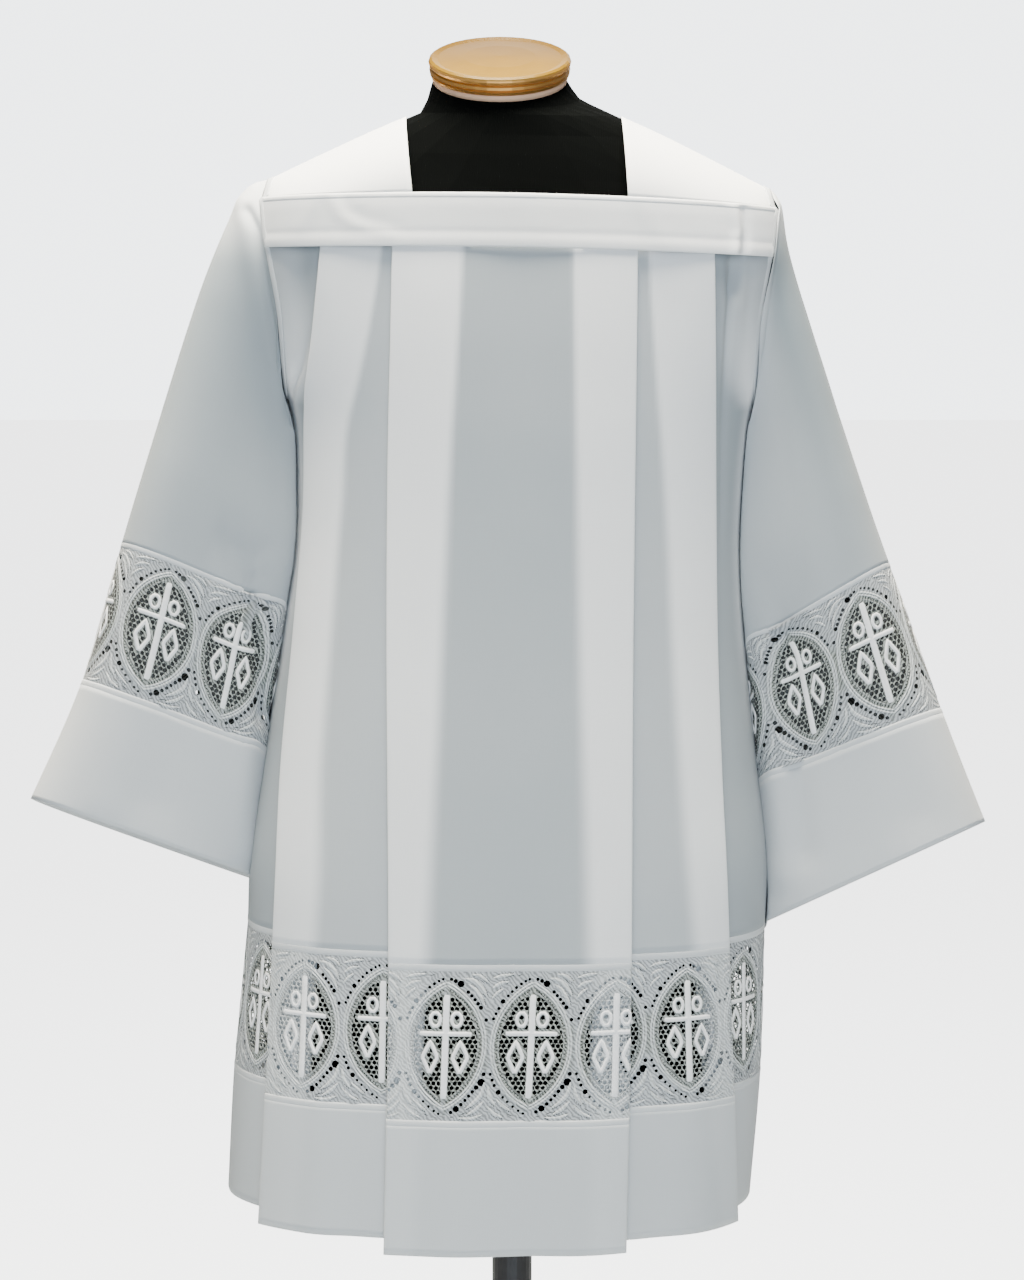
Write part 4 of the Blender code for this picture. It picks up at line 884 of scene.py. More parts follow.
class Flat:
    """A strip of cloth laid flat: where each of its flat points lies on the finished piece."""

    def __init__(self, grid, normal, across, up, double=0.0):
        self.grid, self.normal, self.across, self.up = grid, normal, across, up
        self.low, self.high = up[0], up[-1]
        self.level = (self.low + self.high) / 2
        self.double = double + 0 * across

    def at(self, x, y, height=0.0):
        j = np.clip(np.searchsorted(self.across, x, side="right") - 1, 0, len(self.across) - 2)
        i = np.clip(np.searchsorted(self.up, y, side="right") - 1, 0, len(self.up) - 2)
        a = ((x - self.across[j]) / (self.across[j + 1] - self.across[j]))[:, None]
        b = ((y - self.up[i]) / (self.up[i + 1] - self.up[i]))[:, None]

        def read_field(field):
            return ((field[i, j] * (1 - a) + field[i, j + 1] * a) * (1 - b)
                    + (field[i + 1, j] * (1 - a) + field[i + 1, j + 1] * a) * b)

        normal = read_field(self.normal)
        normal /= np.linalg.norm(normal, axis=1)[:, None]
        return read_field(self.grid) + normal * np.asarray(height)[..., None]


# Metres: how far the lace counts as shown past a pleat's edge, how near to that a gap's middle may lie, how far a gap
# keeps from a hidden cut and a bar from the lace's edges, and how far a gap reaches at most. Square metres: the least
# area of a gap, and of a fine gap that is cut and not painted dark as shade. Those painted dark are under 4 mm across.
SHOWN_PAST, SHOWN_BY, CUT_CLEAR, GAP_REACH, LEAST_GAP, PAINTED_DARK_GAP = 0.006, 0.003, 0.0005, 0.012, 0.6e-6, 12e-6


def repeats(start, end, phase):
    """The middles of the repeats that may reach into a stretch."""
    first = math.floor((start - phase) * 1000 / REPEAT) - 1
    return [phase + step * REPEAT / 1000 for step in range(first, int((end - phase) * 1000 / REPEAT) + 3)]


def gaps_between(start, end, phase, shown, level, painted_dark):
    """The gaps of a stretch that shows, each with whether it is painted dark as shade instead of cut."""
    gaps = []
    for middle in repeats(start, end, phase):
        for fine, ring in [(False, cell) for cell in CELLS] + [(True, gap) for gap in FINE_GAPS]:
            placed = ring / 1000 + (middle, level)
            centre = placed[:, 0].mean()
            if placed[:, 0].max() < start or placed[:, 0].min() > end:
                continue
            if not any(a - SHOWN_BY < centre < b + SHOWN_BY for a, b in shown):
                continue
            placed[:, 0] = np.clip(placed[:, 0], start + CUT_CLEAR, end - CUT_CLEAR)
            if area_of(placed) > LEAST_GAP:
                small = not fine or area_of(placed) < PAINTED_DARK_GAP
                gaps.append((placed, small and painted_dark[0] < centre < painted_dark[1]))
    return gaps


def ground_triangles(start, end, low, high, columns, gaps):
    """A flat stretch of ground in triangles between its columns and round its gaps, and which are painted shade."""
    corners, edges = [], []

    def add(path, close=False):
        first = len(corners)
        corners.extend(Vector(p) for p in path)
        edges.extend((first + n, first + n + 1) for n in range(len(path) - 1))
        if close:
            edges.append((first + len(path) - 1, first))

    for row in (low, high):
        add([(start, row), (end, row)])
    for column in (start, *(c for c in columns if start + 1e-5 < c < end - 1e-5), end):
        add([(column, low), (column, high)])
    for ring, _ in gaps:
        add(ring.tolist(), close=True)
    verts, _, tris, *_ = delaunay_2d_cdt(corners, edges, [], 0, 1e-7)
    verts, tris = np.array([tuple(v) for v in verts]), np.array(tris)
    middles = verts[tris].mean(axis=1)
    order = np.argsort(middles[:, 0])
    sorted_x = middles[order, 0]
    keep, dark = np.ones(len(tris), bool), np.zeros(len(tris), bool)
    for ring, painted_dark in gaps:
        a, b = np.searchsorted(sorted_x, (ring[:, 0].min(), ring[:, 0].max()))
        near = order[a:b]
        near = near[np.abs(middles[near, 1] - ring[:, 1].mean()) < GAP_REACH]
        within = near[inside(middles[near], ring)]
        keep[within], dark[within] = painted_dark, painted_dark
    a, b, c = (verts[tris[:, n]] for n in range(3))
    keep &= np.abs(np.cross(b - a, c - a)) > 1e-12
    return verts, tris[keep], dark[keep]


def joined(points, marks, faces):
    """Stretches that meet at their cuts, with the points that are the same there made one, and unused ones left out."""
    _, first, same = np.unique(np.round(points * 1e7).astype(np.int64), axis=0, return_index=True, return_inverse=True)
    used, faces = np.unique(same.reshape(-1)[faces], return_inverse=True)
    return points[first][used], marks[first][used], faces.reshape(-1, 3)


def rim_edges(faces, count):
    """The edges that only one triangle has, in its own order."""
    directed = np.concatenate((faces[:, [0, 1]], faces[:, [1, 2]], faces[:, [2, 0]]))
    key = directed[:, 0] * count + directed[:, 1]
    return directed[~np.isin(key, directed[:, 1] * count + directed[:, 0])]


def lace_net(flat, parts, columns, thick, wrong_side_shade, painted_dark):
    """The cut-through ground of a strip: points, faces, flat places, how white each point is, and which faces are
    painted dark as shade.

    parts holds, for each stretch between hidden cuts, its start, end, the place of a medallion's middle, and the
    stretches of it that show. columns are the flat lines that the ground is divided along, the wrong side's share is
    how much of its whiteness the wrong side keeps, a painted shade, and the dark stretch is one whose cells, under 4
    mm, are painted dark as shade and not cut.
    """
    points, faces, marks, shaded = [], [], [], []
    count = 0
    for start, end, phase, shown in parts:
        gaps = gaps_between(start, end, phase, shown, flat.level, painted_dark)
        verts, tris, dark = ground_triangles(start, end, flat.low, flat.high, columns, gaps)
        x = ((verts[:, 0] - phase) * 1000 + REPEAT / 2) % REPEAT - REPEAT / 2
        y = (verts[:, 1] - flat.level) * 1000
        white = np.where(oval_side(x, y, LADDER[0] - 0.3) > 0, NET_WHITE, GROUND_WHITE)
        marks.append(white + (LEAF_WHITE - white) * np.interp(verts[:, 0], flat.across, flat.double))
        points.append(verts)
        faces.append(tris + count)
        shaded.append(dark)
        count += len(verts)
    points, marks, faces = joined(np.concatenate(points), np.concatenate(marks), np.concatenate(faces))
    n = len(points)
    rim = rim_edges(faces, n)
    walls = np.stack((rim[:, 1], rim[:, 0], rim[:, 0] + n, rim[:, 1] + n), 1)
    sides = [flat.at(*points.T, np.full(n, side * thick / 2)) for side in (1, -1)]
    all_faces = [*faces.tolist(), *(faces[:, ::-1] + n).tolist(), *walls.tolist()]
    # The wrong side keeps only a share of its whiteness, a painted shade.
    return (np.concatenate(sides), all_faces, np.tile(points, (2, 1)), np.concatenate((marks, marks * wrong_side_shade)),
            np.tile(np.concatenate(shaded), 2))


# How deep a bar's edges sink into the ground, how much of its height its ends keep, how much of it a stretch must hold
# for it to be made there, how far it then runs past the stretch, and how far its points keep from a hidden cut.
BAR_SUNK, BAR_END, BAR_LEAST, BAR_PAST, BAR_CLEAR = 0.0001, 0.3, 0.002, 0.004, 0.0003


def kept_bar(line, half, close, start, end):
    """The run of a bar that lies in a stretch: its points, half widths, the ways along it, and whether it closes."""
    if line[:, 0].max() < start + BAR_LEAST or line[:, 0].min() > end - BAR_LEAST:
        return None
    keep = (line[:, 0] > start - BAR_PAST) & (line[:, 0] < end + BAR_PAST)
    if close and keep.all():
        step = np.roll(line, -1, axis=0) - np.roll(line, 1, axis=0)
    elif keep.sum() < 2:
        return None
    else:
        line, half, close = line[keep], half[keep], False
        step = np.gradient(line, axis=0)
    return line, half, step / np.linalg.norm(step, axis=1)[:, None], close


def bar_faces(rows, wide, close):
    """The faces of a bar whose section has this many points, wide, in each of its rows."""
    index = np.arange(rows * wide).reshape(rows, wide)
    before, after = (index, np.roll(index, -1, axis=0)) if close else (index[:-1], index[1:])
    faces = []
    for j in range(wide):
        k = (j + 1) % wide
        faces += np.stack((before[:, k], before[:, j], after[:, j], after[:, k]), 1).tolist()
    return faces if close else faces + [index[0].tolist(), index[-1][::-1].tolist()]


def lace_ribbons(flat, parts, thick):
    """The raised bars on a strip's ground."""
    points, faces, places, marks = [], [], [], []
    count = 0
    for start, end, phase, _ in parts:
        for middle in repeats(start, end, phase):
            for line, half, high, white, close in RIBBONS:
                kept = kept_bar(line / 1000 + (middle, flat.level), half, close, start, end)
                if not kept:
                    continue
                line, half, step, close = kept
                aside = np.stack((-step[:, 1], step[:, 0]), 1)
                flat_at = line[:, None] + aside[:, None] * (half / 1000)[:, None, None] * PROFILE[None, :, :1]
                flat_at[..., 0] = np.clip(flat_at[..., 0], start + BAR_CLEAR, end - BAR_CLEAR)
                flat_at[..., 1] = np.clip(flat_at[..., 1], flat.low + CUT_CLEAR, flat.high - CUT_CLEAR)
                rise = np.tile(thick / 2 - BAR_SUNK + PROFILE[:, 1] * high / 1000, (len(line), 1))
                if not close:
                    rise[(0, -1), 1:-1] -= high / 1000 * (1 - BAR_END)
                place = flat_at.reshape(-1, 2)
                points.append(flat.at(*place.T, rise.reshape(-1)))
                places.append(place)
                marks.append(np.full(len(place), white))
                faces += [[n + count for n in face] for face in bar_faces(*rise.shape, close)]
                count += len(place)
    return np.concatenate(points), faces, np.concatenate(places), np.concatenate(marks)


def lace_object(name, flat, parts, columns, wrong_side_shade=1.0, painted_dark=(0.0, 0.0)):
    """A strip of lace: its cut-through ground and the bars on it, as one mesh."""
    thick = bpy.context.scene.surplice_cloth.lace
    points, faces, places, white, dark = lace_net(flat, parts, columns, thick, wrong_side_shade, painted_dark)
    bars = lace_ribbons(flat, parts, thick)
    faces = faces + [[n + len(points) for n in face] for face in bars[1]]
    corners = np.array([n for face in faces for n in face])
    points, places, white = (np.concatenate(pair) for pair in ((points, bars[0]), (places, bars[2]), (white, bars[3])))
    mesh = cloth_mesh(name, points, faces, places[corners], finish_named("surplice_lace"))
    mesh.set_sharp_from_angle(angle=math.radians(60))
    white = white[corners]
    # Cells painted dark take the darkest tone, a painted shade where holes would show the dark inside.
    white[:3 * len(dark)][np.repeat(dark, 3)] = 0.0
    mesh.attributes.new("white", "FLOAT", "CORNER").data.foreach_set("value", white.astype(np.float32))
    return link_object(name, mesh)


AT_ROOT, ON_TOP = 1.5, 0.01  # how deep in a pleat the middle of its root lies, and what still counts as on top


def hem_lace_parts(layer, x, across, centres):
    """The stretches of a skirt's lace between the inmost bends of its pleats, and which of them show."""
    cuts = [j for j in range(1, len(layer)) if (layer[j] - AT_ROOT) * (layer[j - 1] - AT_ROOT) < 0]
    cuts = [0, *cuts, len(layer) - 1]
    parts = []
    for a, b, centre in zip(cuts, cuts[1:], centres):
        top = [j for j in range(a, b + 1) if layer[j] < ON_TOP]
        phase = float(np.interp(centre, x[top], across[top]))
        parts.append((across[a], across[b], phase, [(across[top[0]] - SHOWN_PAST, across[top[-1]] + SHOWN_PAST)]))
    return parts


# ---------- finishes ----------
def add_node(tree, kind, inputs=None, **settings):
    """A node with its settings, and its inputs by name or number: each a value, or a socket to link."""
    made = tree.nodes.new(kind)
    for name, value in settings.items():
        setattr(made, name, value)
    for name, value in (inputs or {}).items():
        if isinstance(value, bpy.types.NodeSocket):
            tree.links.new(value, made.inputs[name])
        else:
            made.inputs[name].default_value = value
    return made


def new_group(name, takes, gives):
    """A shader node group with its named sockets."""
    tree = bpy.data.node_groups.new(name, "ShaderNodeTree")
    for label, kind, default in takes:
        made = tree.interface.new_socket(name=label, in_out="INPUT", socket_type=kind)
        if default is not None:
            made.default_value = default
    for label, kind in gives:
        tree.interface.new_socket(name=label, in_out="OUTPUT", socket_type=kind)
    return tree, tree.nodes.new("NodeGroupInput").outputs, tree.nodes.new("NodeGroupOutput").inputs


def math_node(tree, operation, *values):
    return add_node(tree, "ShaderNodeMath", dict(enumerate(values)), operation=operation).outputs[0]


def scaled(tree, colour, share):
    """A colour or a place times a share."""
    return add_node(tree, "ShaderNodeVectorMath", {0: colour, "Scale": share}, operation="SCALE").outputs[0]


def weave_group():
    """Plain weave on the cloth's own flat map: its relief, and how shaded its threads are."""
    tree, given, out = new_group(
        "Plain Weave",
        (("Vector", "NodeSocketVector", None), ("Threads per Metre", "NodeSocketFloat", 2200.0),
         ("Slub", "NodeSocketFloat", 0.5)),
        (("Height", "NodeSocketFloat"), ("Shade", "NodeSocketFloat")))
    place = scaled(tree, given["Vector"], math_node(tree, "MULTIPLY", given["Threads per Metre"], math.pi))
    x, y = add_node(tree, "ShaderNodeSeparateXYZ", {0: place}).outputs[:2]
    over = math_node(tree, "MULTIPLY", math_node(tree, "SINE", x), math_node(tree, "SINE", y))
    slubs = []
    for stretch in ((900.0, 45.0, 1.0), (45.0, 900.0, 1.0)):
        moved = add_node(tree, "ShaderNodeMapping", {"Vector": given["Vector"], "Scale": stretch}).outputs[0]
        slubs.append(add_node(tree, "ShaderNodeTexNoise", {"Vector": moved, "Scale": 1.0, "Detail": 2.0}).outputs[0])
    slub = math_node(tree, "SUBTRACT", math_node(tree, "ADD", *slubs), 1.0)
    slub = math_node(tree, "MULTIPLY", slub, given["Slub"])
    tree.links.new(math_node(tree, "MULTIPLY_ADD", over, 0.35, slub), out["Height"])
    tree.links.new(math_node(tree, "MULTIPLY_ADD", slub, 0.06, 1.0), out["Shade"])
    return tree


def mottle_group():
    """Faint patches of lighter and darker colour, as worn or handled surfaces have."""
    tree, given, out = new_group(
        "Soft Mottle",
        (("Vector", "NodeSocketVector", None), ("Scale", "NodeSocketFloat", 8.0), ("Amount", "NodeSocketFloat", 0.05),
         ("Colour", "NodeSocketColor", None)),
        (("Colour", "NodeSocketColor"),))
    noise = add_node(tree, "ShaderNodeTexNoise", {"Vector": given["Vector"], "Scale": given["Scale"], "Detail": 4.0})
    value = math_node(tree, "MULTIPLY_ADD", math_node(tree, "SUBTRACT", noise.outputs[0], 0.5), given["Amount"], 1.0)
    tree.links.new(scaled(tree, given["Colour"], value), out["Colour"])
    return tree


def blank(name, roughness, metallic=0.0, specular=0.5, sheen=0.0):
    """A new material with its tree, its shader, and the places on its surface."""
    made = bpy.data.materials.new(name)
    made.use_nodes = True
    tree = made.node_tree
    shader = tree.nodes["Principled BSDF"]
    for label, value in (("Roughness", roughness), ("Metallic", metallic), ("Specular IOR Level", specular),
                         ("Sheen Weight", sheen)):
        shader.inputs[label].default_value = value
    return made, tree, shader, add_node(tree, "ShaderNodeTexCoord").outputs


def mix_colours(tree, share, first, second):
    return add_node(tree, "ShaderNodeMix", {0: share, 6: first, 7: second}, data_type="RGBA",
                    clamp_factor=False).outputs[2]


def use_group(tree, name, **inputs):
    inputs = {label.replace("_", " "): value for label, value in inputs.items()}
    return add_node(tree, "ShaderNodeGroup", inputs, node_tree=bpy.data.node_groups[name]).outputs


def mottled(tree, shader, place, scale, amount, colour):
    """Give a shader a base colour with soft patches."""
    tone = use_group(tree, "Soft Mottle", Vector=place, Scale=scale, Amount=amount, Colour=colour)["Colour"]
    tree.links.new(tone, shader.inputs["Base Color"])


def bump(tree, shader, height, strength, distance):
    made = add_node(tree, "ShaderNodeBump", {"Height": height, "Strength": strength, "Distance": distance})
    tree.links.new(made.outputs[0], shader.inputs["Normal"])


def cloth_finish(name, single, doubled_and_painted_light):
    """White cotton: greyer where one layer lies over the dark form, whiter where it lies double, and lighter
    or darker where light and shade are painted into that mark.
    """
    made, tree, shader, place = blank(name, 0.88, specular=0.25, sheen=0.08)
    mark = add_node(tree, "ShaderNodeAttribute", attribute_name="doubled_and_painted_light").outputs["Fac"]
    weave = use_group(tree, "Plain Weave", Vector=place["UV"], Threads_per_Metre=2100.0, Slub=0.6)
    tone = mix_colours(tree, mark, (*single, 1), (*doubled_and_painted_light, 1))
    tone = use_group(tree, "Soft Mottle", Vector=place["Object"], Scale=7.0, Amount=0.07, Colour=tone)["Colour"]
    tree.links.new(scaled(tree, tone, weave["Shade"]), shader.inputs["Base Color"])
    bump(tree, shader, weave["Height"], 0.25, 0.0003)
    return made


# The lace's colours by whiteness: painted shade, for gaps painted dark and for the wrong side, then net, ground,
# leaves and rings, and satin bars.
LACE_PAINTED_SHADE, LACE_BRIGHT = (0.03, 0.033, 0.037, 1), (0.95, 0.95, 0.96, 1)
LACE_TONES = ((0.15, (0.42, 0.45, 0.42, 1)), (0.30, (0.42, 0.45, 0.45, 1)), (0.42, (0.54, 0.57, 0.60, 1)),
              (0.60, (0.68, 0.71, 0.72, 1)))


def lace_finish(name):
    """Lace: grey net of fine threads, paler leaves and rings, bright satin bars, and a near-black painted shade."""
    made, tree, shader, place = blank(name, 0.72, specular=0.3, sheen=0.1)
    mark = add_node(tree, "ShaderNodeAttribute", attribute_name="white").outputs["Fac"]
    ramp = add_node(tree, "ShaderNodeValToRGB", {"Fac": mark})
    stops = ramp.color_ramp.elements
    stops[0].color, stops[1].color = LACE_PAINTED_SHADE, LACE_BRIGHT
    for where, colour in LACE_TONES:
        stops.new(where).color = colour
    threads = add_node(tree, "ShaderNodeTexWave", {"Vector": place["UV"], "Scale": 150.0, "Distortion": 7.0,
                                                   "Detail": 2.0}, bands_direction="DIAGONAL").outputs["Fac"]
    darker = math_node(tree, "MULTIPLY", math_node(tree, "SUBTRACT", 1.0, mark), 0.95)
    kept = math_node(tree, "SUBTRACT", 1.0, math_node(tree, "MULTIPLY", threads, darker))
    mottled(tree, shader, place["UV"], 160.0, 0.22, scaled(tree, ramp.outputs[0], kept))
    stitch = add_node(tree, "ShaderNodeTexNoise", {"Vector": place["UV"], "Scale": 1500.0, "Detail": 2.0})
    bump(tree, shader, stitch.outputs[0], 0.5, 0.0004)
    return made


def jersey_finish(name):
    """Black jersey: matt, with fine ribs."""
    made, tree, shader, place = blank(name, 0.95, specular=0.02)
    mottled(tree, shader, place["Object"], 14.0, 0.5, (0.0010, 0.0013, 0.0013, 1))
    ribs = add_node(tree, "ShaderNodeTexWave", {"Vector": place["Object"], "Scale": 160.0, "Distortion": 0.6,
                                                "Detail": 1.0}, bands_direction="X")
    bump(tree, shader, ribs.outputs["Fac"], 0.25, 0.0005)
    return made


# The cap's top is painted lighter at the front and darker to the rear, a painted light and shade.
GILT_RIM, GILT_LIT_FRONT, GILT_SHADED_REAR = (0.60, 0.31, 0.088, 1), (0.165, 0.090, 0.004, 1), (0.085, 0.044, 0.003, 1)
GILT_ROUGH, GILT_METAL, TOP_SMOOTHER = 0.42, 0.85, 0.10  # the top is smoother than the rim, and paint, not metal


def soft_range(tree, value, low, high):
    """0 below low, 1 above high, and a soft rise between them."""
    return add_node(tree, "ShaderNodeMapRange", {"Value": value, "From Min": low, "From Max": high},
                    interpolation_type="SMOOTHSTEP").outputs[0]


def gilt_finish(name):
    """The cap: pale gold on top, painted lighter at the front and darker to the rear as light and shade, browner on
    its rim, with fine turning marks round its own axis.
    """
    made, tree, shader, place = blank(name, GILT_ROUGH, metallic=GILT_METAL, specular=0.1)
    own = add_node(tree, "ShaderNodeMapping", {"Vector": place["Object"], "Location": CAP_CENTRE,
                                               "Rotation": (CAP_TILT, 0, 0)}, vector_type="TEXTURE").outputs[0]
    x, y, z = add_node(tree, "ShaderNodeSeparateXYZ", {0: own}).outputs
    flat = add_node(tree, "ShaderNodeCombineXYZ", {0: x, 1: y}).outputs[0]
    radius = add_node(tree, "ShaderNodeVectorMath", {0: flat}, operation="LENGTH").outputs["Value"]
    on_top, shaded_rear = soft_range(tree, z, -0.0035, -0.0012), soft_range(tree, y, -0.058, 0.040)
    top = mix_colours(tree, shaded_rear, GILT_LIT_FRONT, GILT_SHADED_REAR)
    mottled(tree, shader, own, 38.0, 0.35, mix_colours(tree, on_top, GILT_RIM, top))
    tree.links.new(math_node(tree, "MULTIPLY_ADD", on_top, -TOP_SMOOTHER, GILT_ROUGH), shader.inputs["Roughness"])
    tree.links.new(math_node(tree, "MULTIPLY_ADD", on_top, -GILT_METAL, GILT_METAL), shader.inputs["Metallic"])
    rings = add_node(tree, "ShaderNodeTexNoise", {"Scale": 1.0, "Detail": 2.0}, noise_dimensions="1D")
    tree.links.new(math_node(tree, "MULTIPLY", radius, 900.0), rings.inputs["W"])
    bump(tree, shader, rings.outputs[0], 0.12, 0.0004)
    return made


def plain_finish(name, colour, roughness, metallic, grain, amount, depth):
    """A plain surface of one colour with faint patches and a fine grain."""
    made, tree, shader, place = blank(name, roughness, metallic)
    mottled(tree, shader, place["Object"], grain / 8, amount, (*colour, 1))
    noise = add_node(tree, "ShaderNodeTexNoise", {"Vector": place["Object"], "Scale": grain, "Detail": 3.0})
    bump(tree, shader, noise.outputs[0], 0.2, depth)
    return made


def finish_named(name):
    """One of the surplice's or the form's finishes, made when it is first asked for."""
    made = bpy.data.materials.get(name)
    if made:
        return made
    for group, build in (("Plain Weave", weave_group), ("Soft Mottle", mottle_group)):
        if group not in bpy.data.node_groups:
            build()
    look = bpy.context.scene.surplice_finish
    builders = {
        "surplice_cotton": (cloth_finish, look.single, look.doubled_and_painted_light),
        "surplice_lace": (lace_finish,),
        "black_jersey_cover": (jersey_finish,),
        "gilt_cap": (gilt_finish,),
        "bare_neck": (plain_finish, (0.78, 0.49, 0.32), 0.55, 0.0, 400.0, 0.2, 0.0002),
        "stand_steel": (plain_finish, (0.035, 0.035, 0.038), 0.42, 0.7, 900.0, 0.3, 0.0002),
    }
    build, *values = builders[name]
    return build(name, *values)


# ---------- settings ----------
class SurpliceClothSettings(bpy.types.PropertyGroup):
    thickness: bpy.props.FloatProperty(name="Cloth Thickness", description="Thickness of the cotton",
                                       default=0.0009, min=0.0004, max=0.0012, precision=5, unit="LENGTH")
    lace: bpy.props.FloatProperty(name="Lace Thickness", description="Thickness of the lace's ground",
                                  default=0.0005, min=0.0003, max=0.001, precision=5, unit="LENGTH")


class SurpliceFinishSettings(bpy.types.PropertyGroup):
    single: bpy.props.FloatVectorProperty(name="Single Cloth", description="Colour of one layer over the form",
                                          default=(0.39, 0.425, 0.45), subtype="COLOR", min=0, max=1)
    doubled_and_painted_light: bpy.props.FloatVectorProperty(name="Doubled Cloth", description="Colour of cloth that lies double",
                                           default=(0.88, 0.89, 0.90), subtype="COLOR", min=0, max=1)


class SurpliceStageSettings(bpy.types.PropertyGroup):
    overhead: bpy.props.FloatProperty(name="Overhead Light", description="Power of the light above",
                                      default=500.0, min=0.0, subtype="POWER")
    front: bpy.props.FloatProperty(name="Front Light", description="Power of the light in front",
                                   default=175.0, min=0.0, subtype="POWER")
    ambient: bpy.props.FloatProperty(name="Ambient", description="Strength of the light from all round",
                                     default=0.22, min=0.0)


# ---------- pieces ----------
def settle(piece, nodes):
    """Fix a finished piece of cloth in the model: attach it to the root, and hide the model's parts that it stands for.
    """
    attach(piece, "root")
    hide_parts(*nodes)


def cotton(name, grid, normal, doubled_and_painted_light, thick=None, closed=False):
    """A piece of cotton, as thick as the settings say unless told otherwise, and its flat width and height."""
    thick = thick or bpy.context.scene.surplice_cloth.thickness
    across, down = flat_size(grid, closed)
    return shell(name, grid, normal, thick, (across, down), doubled_and_painted_light, closed), (float(across.max()), float(down.max()))


# A tape: how thick it is, how deep its long edges sink, how far its middle stands out, and how white it is.
TAPE_THICK, TAPE_SINK, TAPE_OUT, TAPE_WHITE, TAPE_ROWS = 0.0004, 0.00035, 0.00042, 0.45, 5


def tape(name, grid, normal, out_by=TAPE_OUT, white=TAPE_WHITE, closed=False, sink=TAPE_SINK):
    """A narrow strip of tape laid on the cloth over a seam, its long edges sunk into the cloth."""
    edge = np.linspace(-1, 1, len(grid))[:, None, None] ** 2
    piece = shell(name, grid + normal * (out_by - sink * edge), normal, TAPE_THICK, flat_size(grid, closed),
                  np.full(grid.shape[:2], white), closed)
    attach(piece, "root")
    return piece


PANEL_ROWS, HEM_BAND_ROWS, LACE_ROWS = 62, 18, 12  # rows of points from a piece's lower edge to its upper one


class SURPLICE_OT_pleated_panels(bpy.types.Operator):
    """Builds the pleated panels of the front and the back"""
    bl_idname = "surplice.pleated_panels"
    bl_label = "Pleated Panels"

    def execute(self, context):
        for face, where in FACES:
            grid, normal, marks = skirt_grid(np.linspace(LACE_TOP + SEAM, LEVELS[-2] - SEAM, PANEL_ROWS), face)
            piece, size = cotton("pleated_panel_" + where, grid, normal, marks[1])
            settle(piece, [where + "_panel"])
        return {"FINISHED"}


# Where the middle of a medallion shows in each stretch of the hem's lace, x, left to right.
MEDALLIONS = {-1: (-0.2188, -0.1788, -0.0568, 0.151, 0.2007), 1: (-0.203, -0.150, -0.0364, 0.166, 0.2120)}
SLEEVE_MEDALLION = {-1: -0.3026, 1: 0.2489}
TAPE_LAP, TAPE_REACH = 0.0012, 0.0055  # how far a tape lies on the lace and on the cotton


class SURPLICE_OT_hem_lace(bpy.types.Operator):
    """Builds the lace let into the skirt above its hem"""
    bl_idname = "surplice.hem_lace"
    bl_label = "Hem Lace"

    def execute(self, context):
        for face, where in FACES:
            heights = np.linspace(LACE_LOW, LACE_TOP, LACE_ROWS)
            grid, normal, marks = skirt_grid(heights, face)
            # The skirt's mark, with its painted light, whitens the lace where the lace lies double.
            across, doubled_and_painted_light, layer = flat_size(grid)[0][0], np.clip(marks[1][0], 0, 1), marks[2][0]
            parts = hem_lace_parts(layer, grid[5, :, 0], across, MEDALLIONS[face])
            columns = [place for j, place in enumerate(across) if layer[j] % 1 > 0.001 or j % 4 == 0]
            flat = Flat(grid, normal, across, heights - LACE_LOW, doubled_and_painted_light)
            piece = lace_object("hem_lace_" + where + "_cloth", flat, parts, columns)
            for level, low, high in (("top", LACE_TOP - TAPE_LAP, LACE_TOP + TAPE_REACH),
                                     ("low", LACE_LOW - TAPE_REACH, LACE_LOW + TAPE_LAP)):
                grid, normal, _ = skirt_grid(np.linspace(low, high, TAPE_ROWS), face)
                tape(f"hem_lace_{level}_tape_{where}", grid, normal)
            settle(piece, ["hem_lace_" + where])
        return {"FINISHED"}


# The hem band's second share scales the skirt's mark, which holds painted light and shade as well as double cloth.
HEM_WHITE, HEM_DOUBLED = 0.34, 0.12  # how white the hem band is, and how much more so where it lies double


class SURPLICE_OT_hem_bands(bpy.types.Operator):
    """Builds the plain bands below the hem's lace"""
    bl_idname = "surplice.hem_bands"
    bl_label = "Hem Bands"

    def execute(self, context):
        for face, where in FACES:
            grid, normal, marks = skirt_grid(np.linspace(HEM_LEVEL, LACE_LOW - SEAM, HEM_BAND_ROWS), face)
            piece, size = cotton("hem_band_" + where + "_cloth", grid, normal, HEM_WHITE + HEM_DOUBLED * marks[1])
            settle(piece, ["hem_band_" + where])
        return {"FINISHED"}


# The yoke band: how far it laps over the pleats, stands out from them, its wall, and how its top edge turns in.
BAND_LAP, BAND_OUT, BAND_THICK, TOP_IN, TOP_TURN = 0.003, 0.0013, 0.0014, 0.0010, 12
# Its rolled lower edge and the groove above it: height, and place and half width in millimetres.
BAND_RELIEF = ((0.0006, 4.5, 5), (-0.0003, 11.5, 2.5))
BAND_SEAM = (-0.0030, 0.0012, 0.0009)  # the seam on its top edge: from and to which height, and how proud
BAND_SEAM_WHITE = 0.9
BAND_ROWS, BAND_SEAM_ROWS, SHOULDER_ARCHES = 28, 4, 28


def band_swell(height):
    """How far the band stands out from the body's outline."""
    above, below_top = (height - LEVELS[-2] + BAND_LAP) * 1000, (LEVELS[-1] - height) * 1000
    relief = [rise * math.exp(-((above - place) / half) ** 2) for rise, place, half in BAND_RELIEF]
    return BAND_OUT + sum(relief) - TOP_IN * (1 - min(1.0, below_top / TOP_TURN)) ** 2


def band_white_and_painted_light(x):
    """How white the band is: a little greyer in the middle, and whiter towards the right shoulder, a painted light."""
    return 0.87 + 0.28 * ease(0.10, 0.19, x) - 0.18 * np.exp(-(x / 0.06) ** 2)


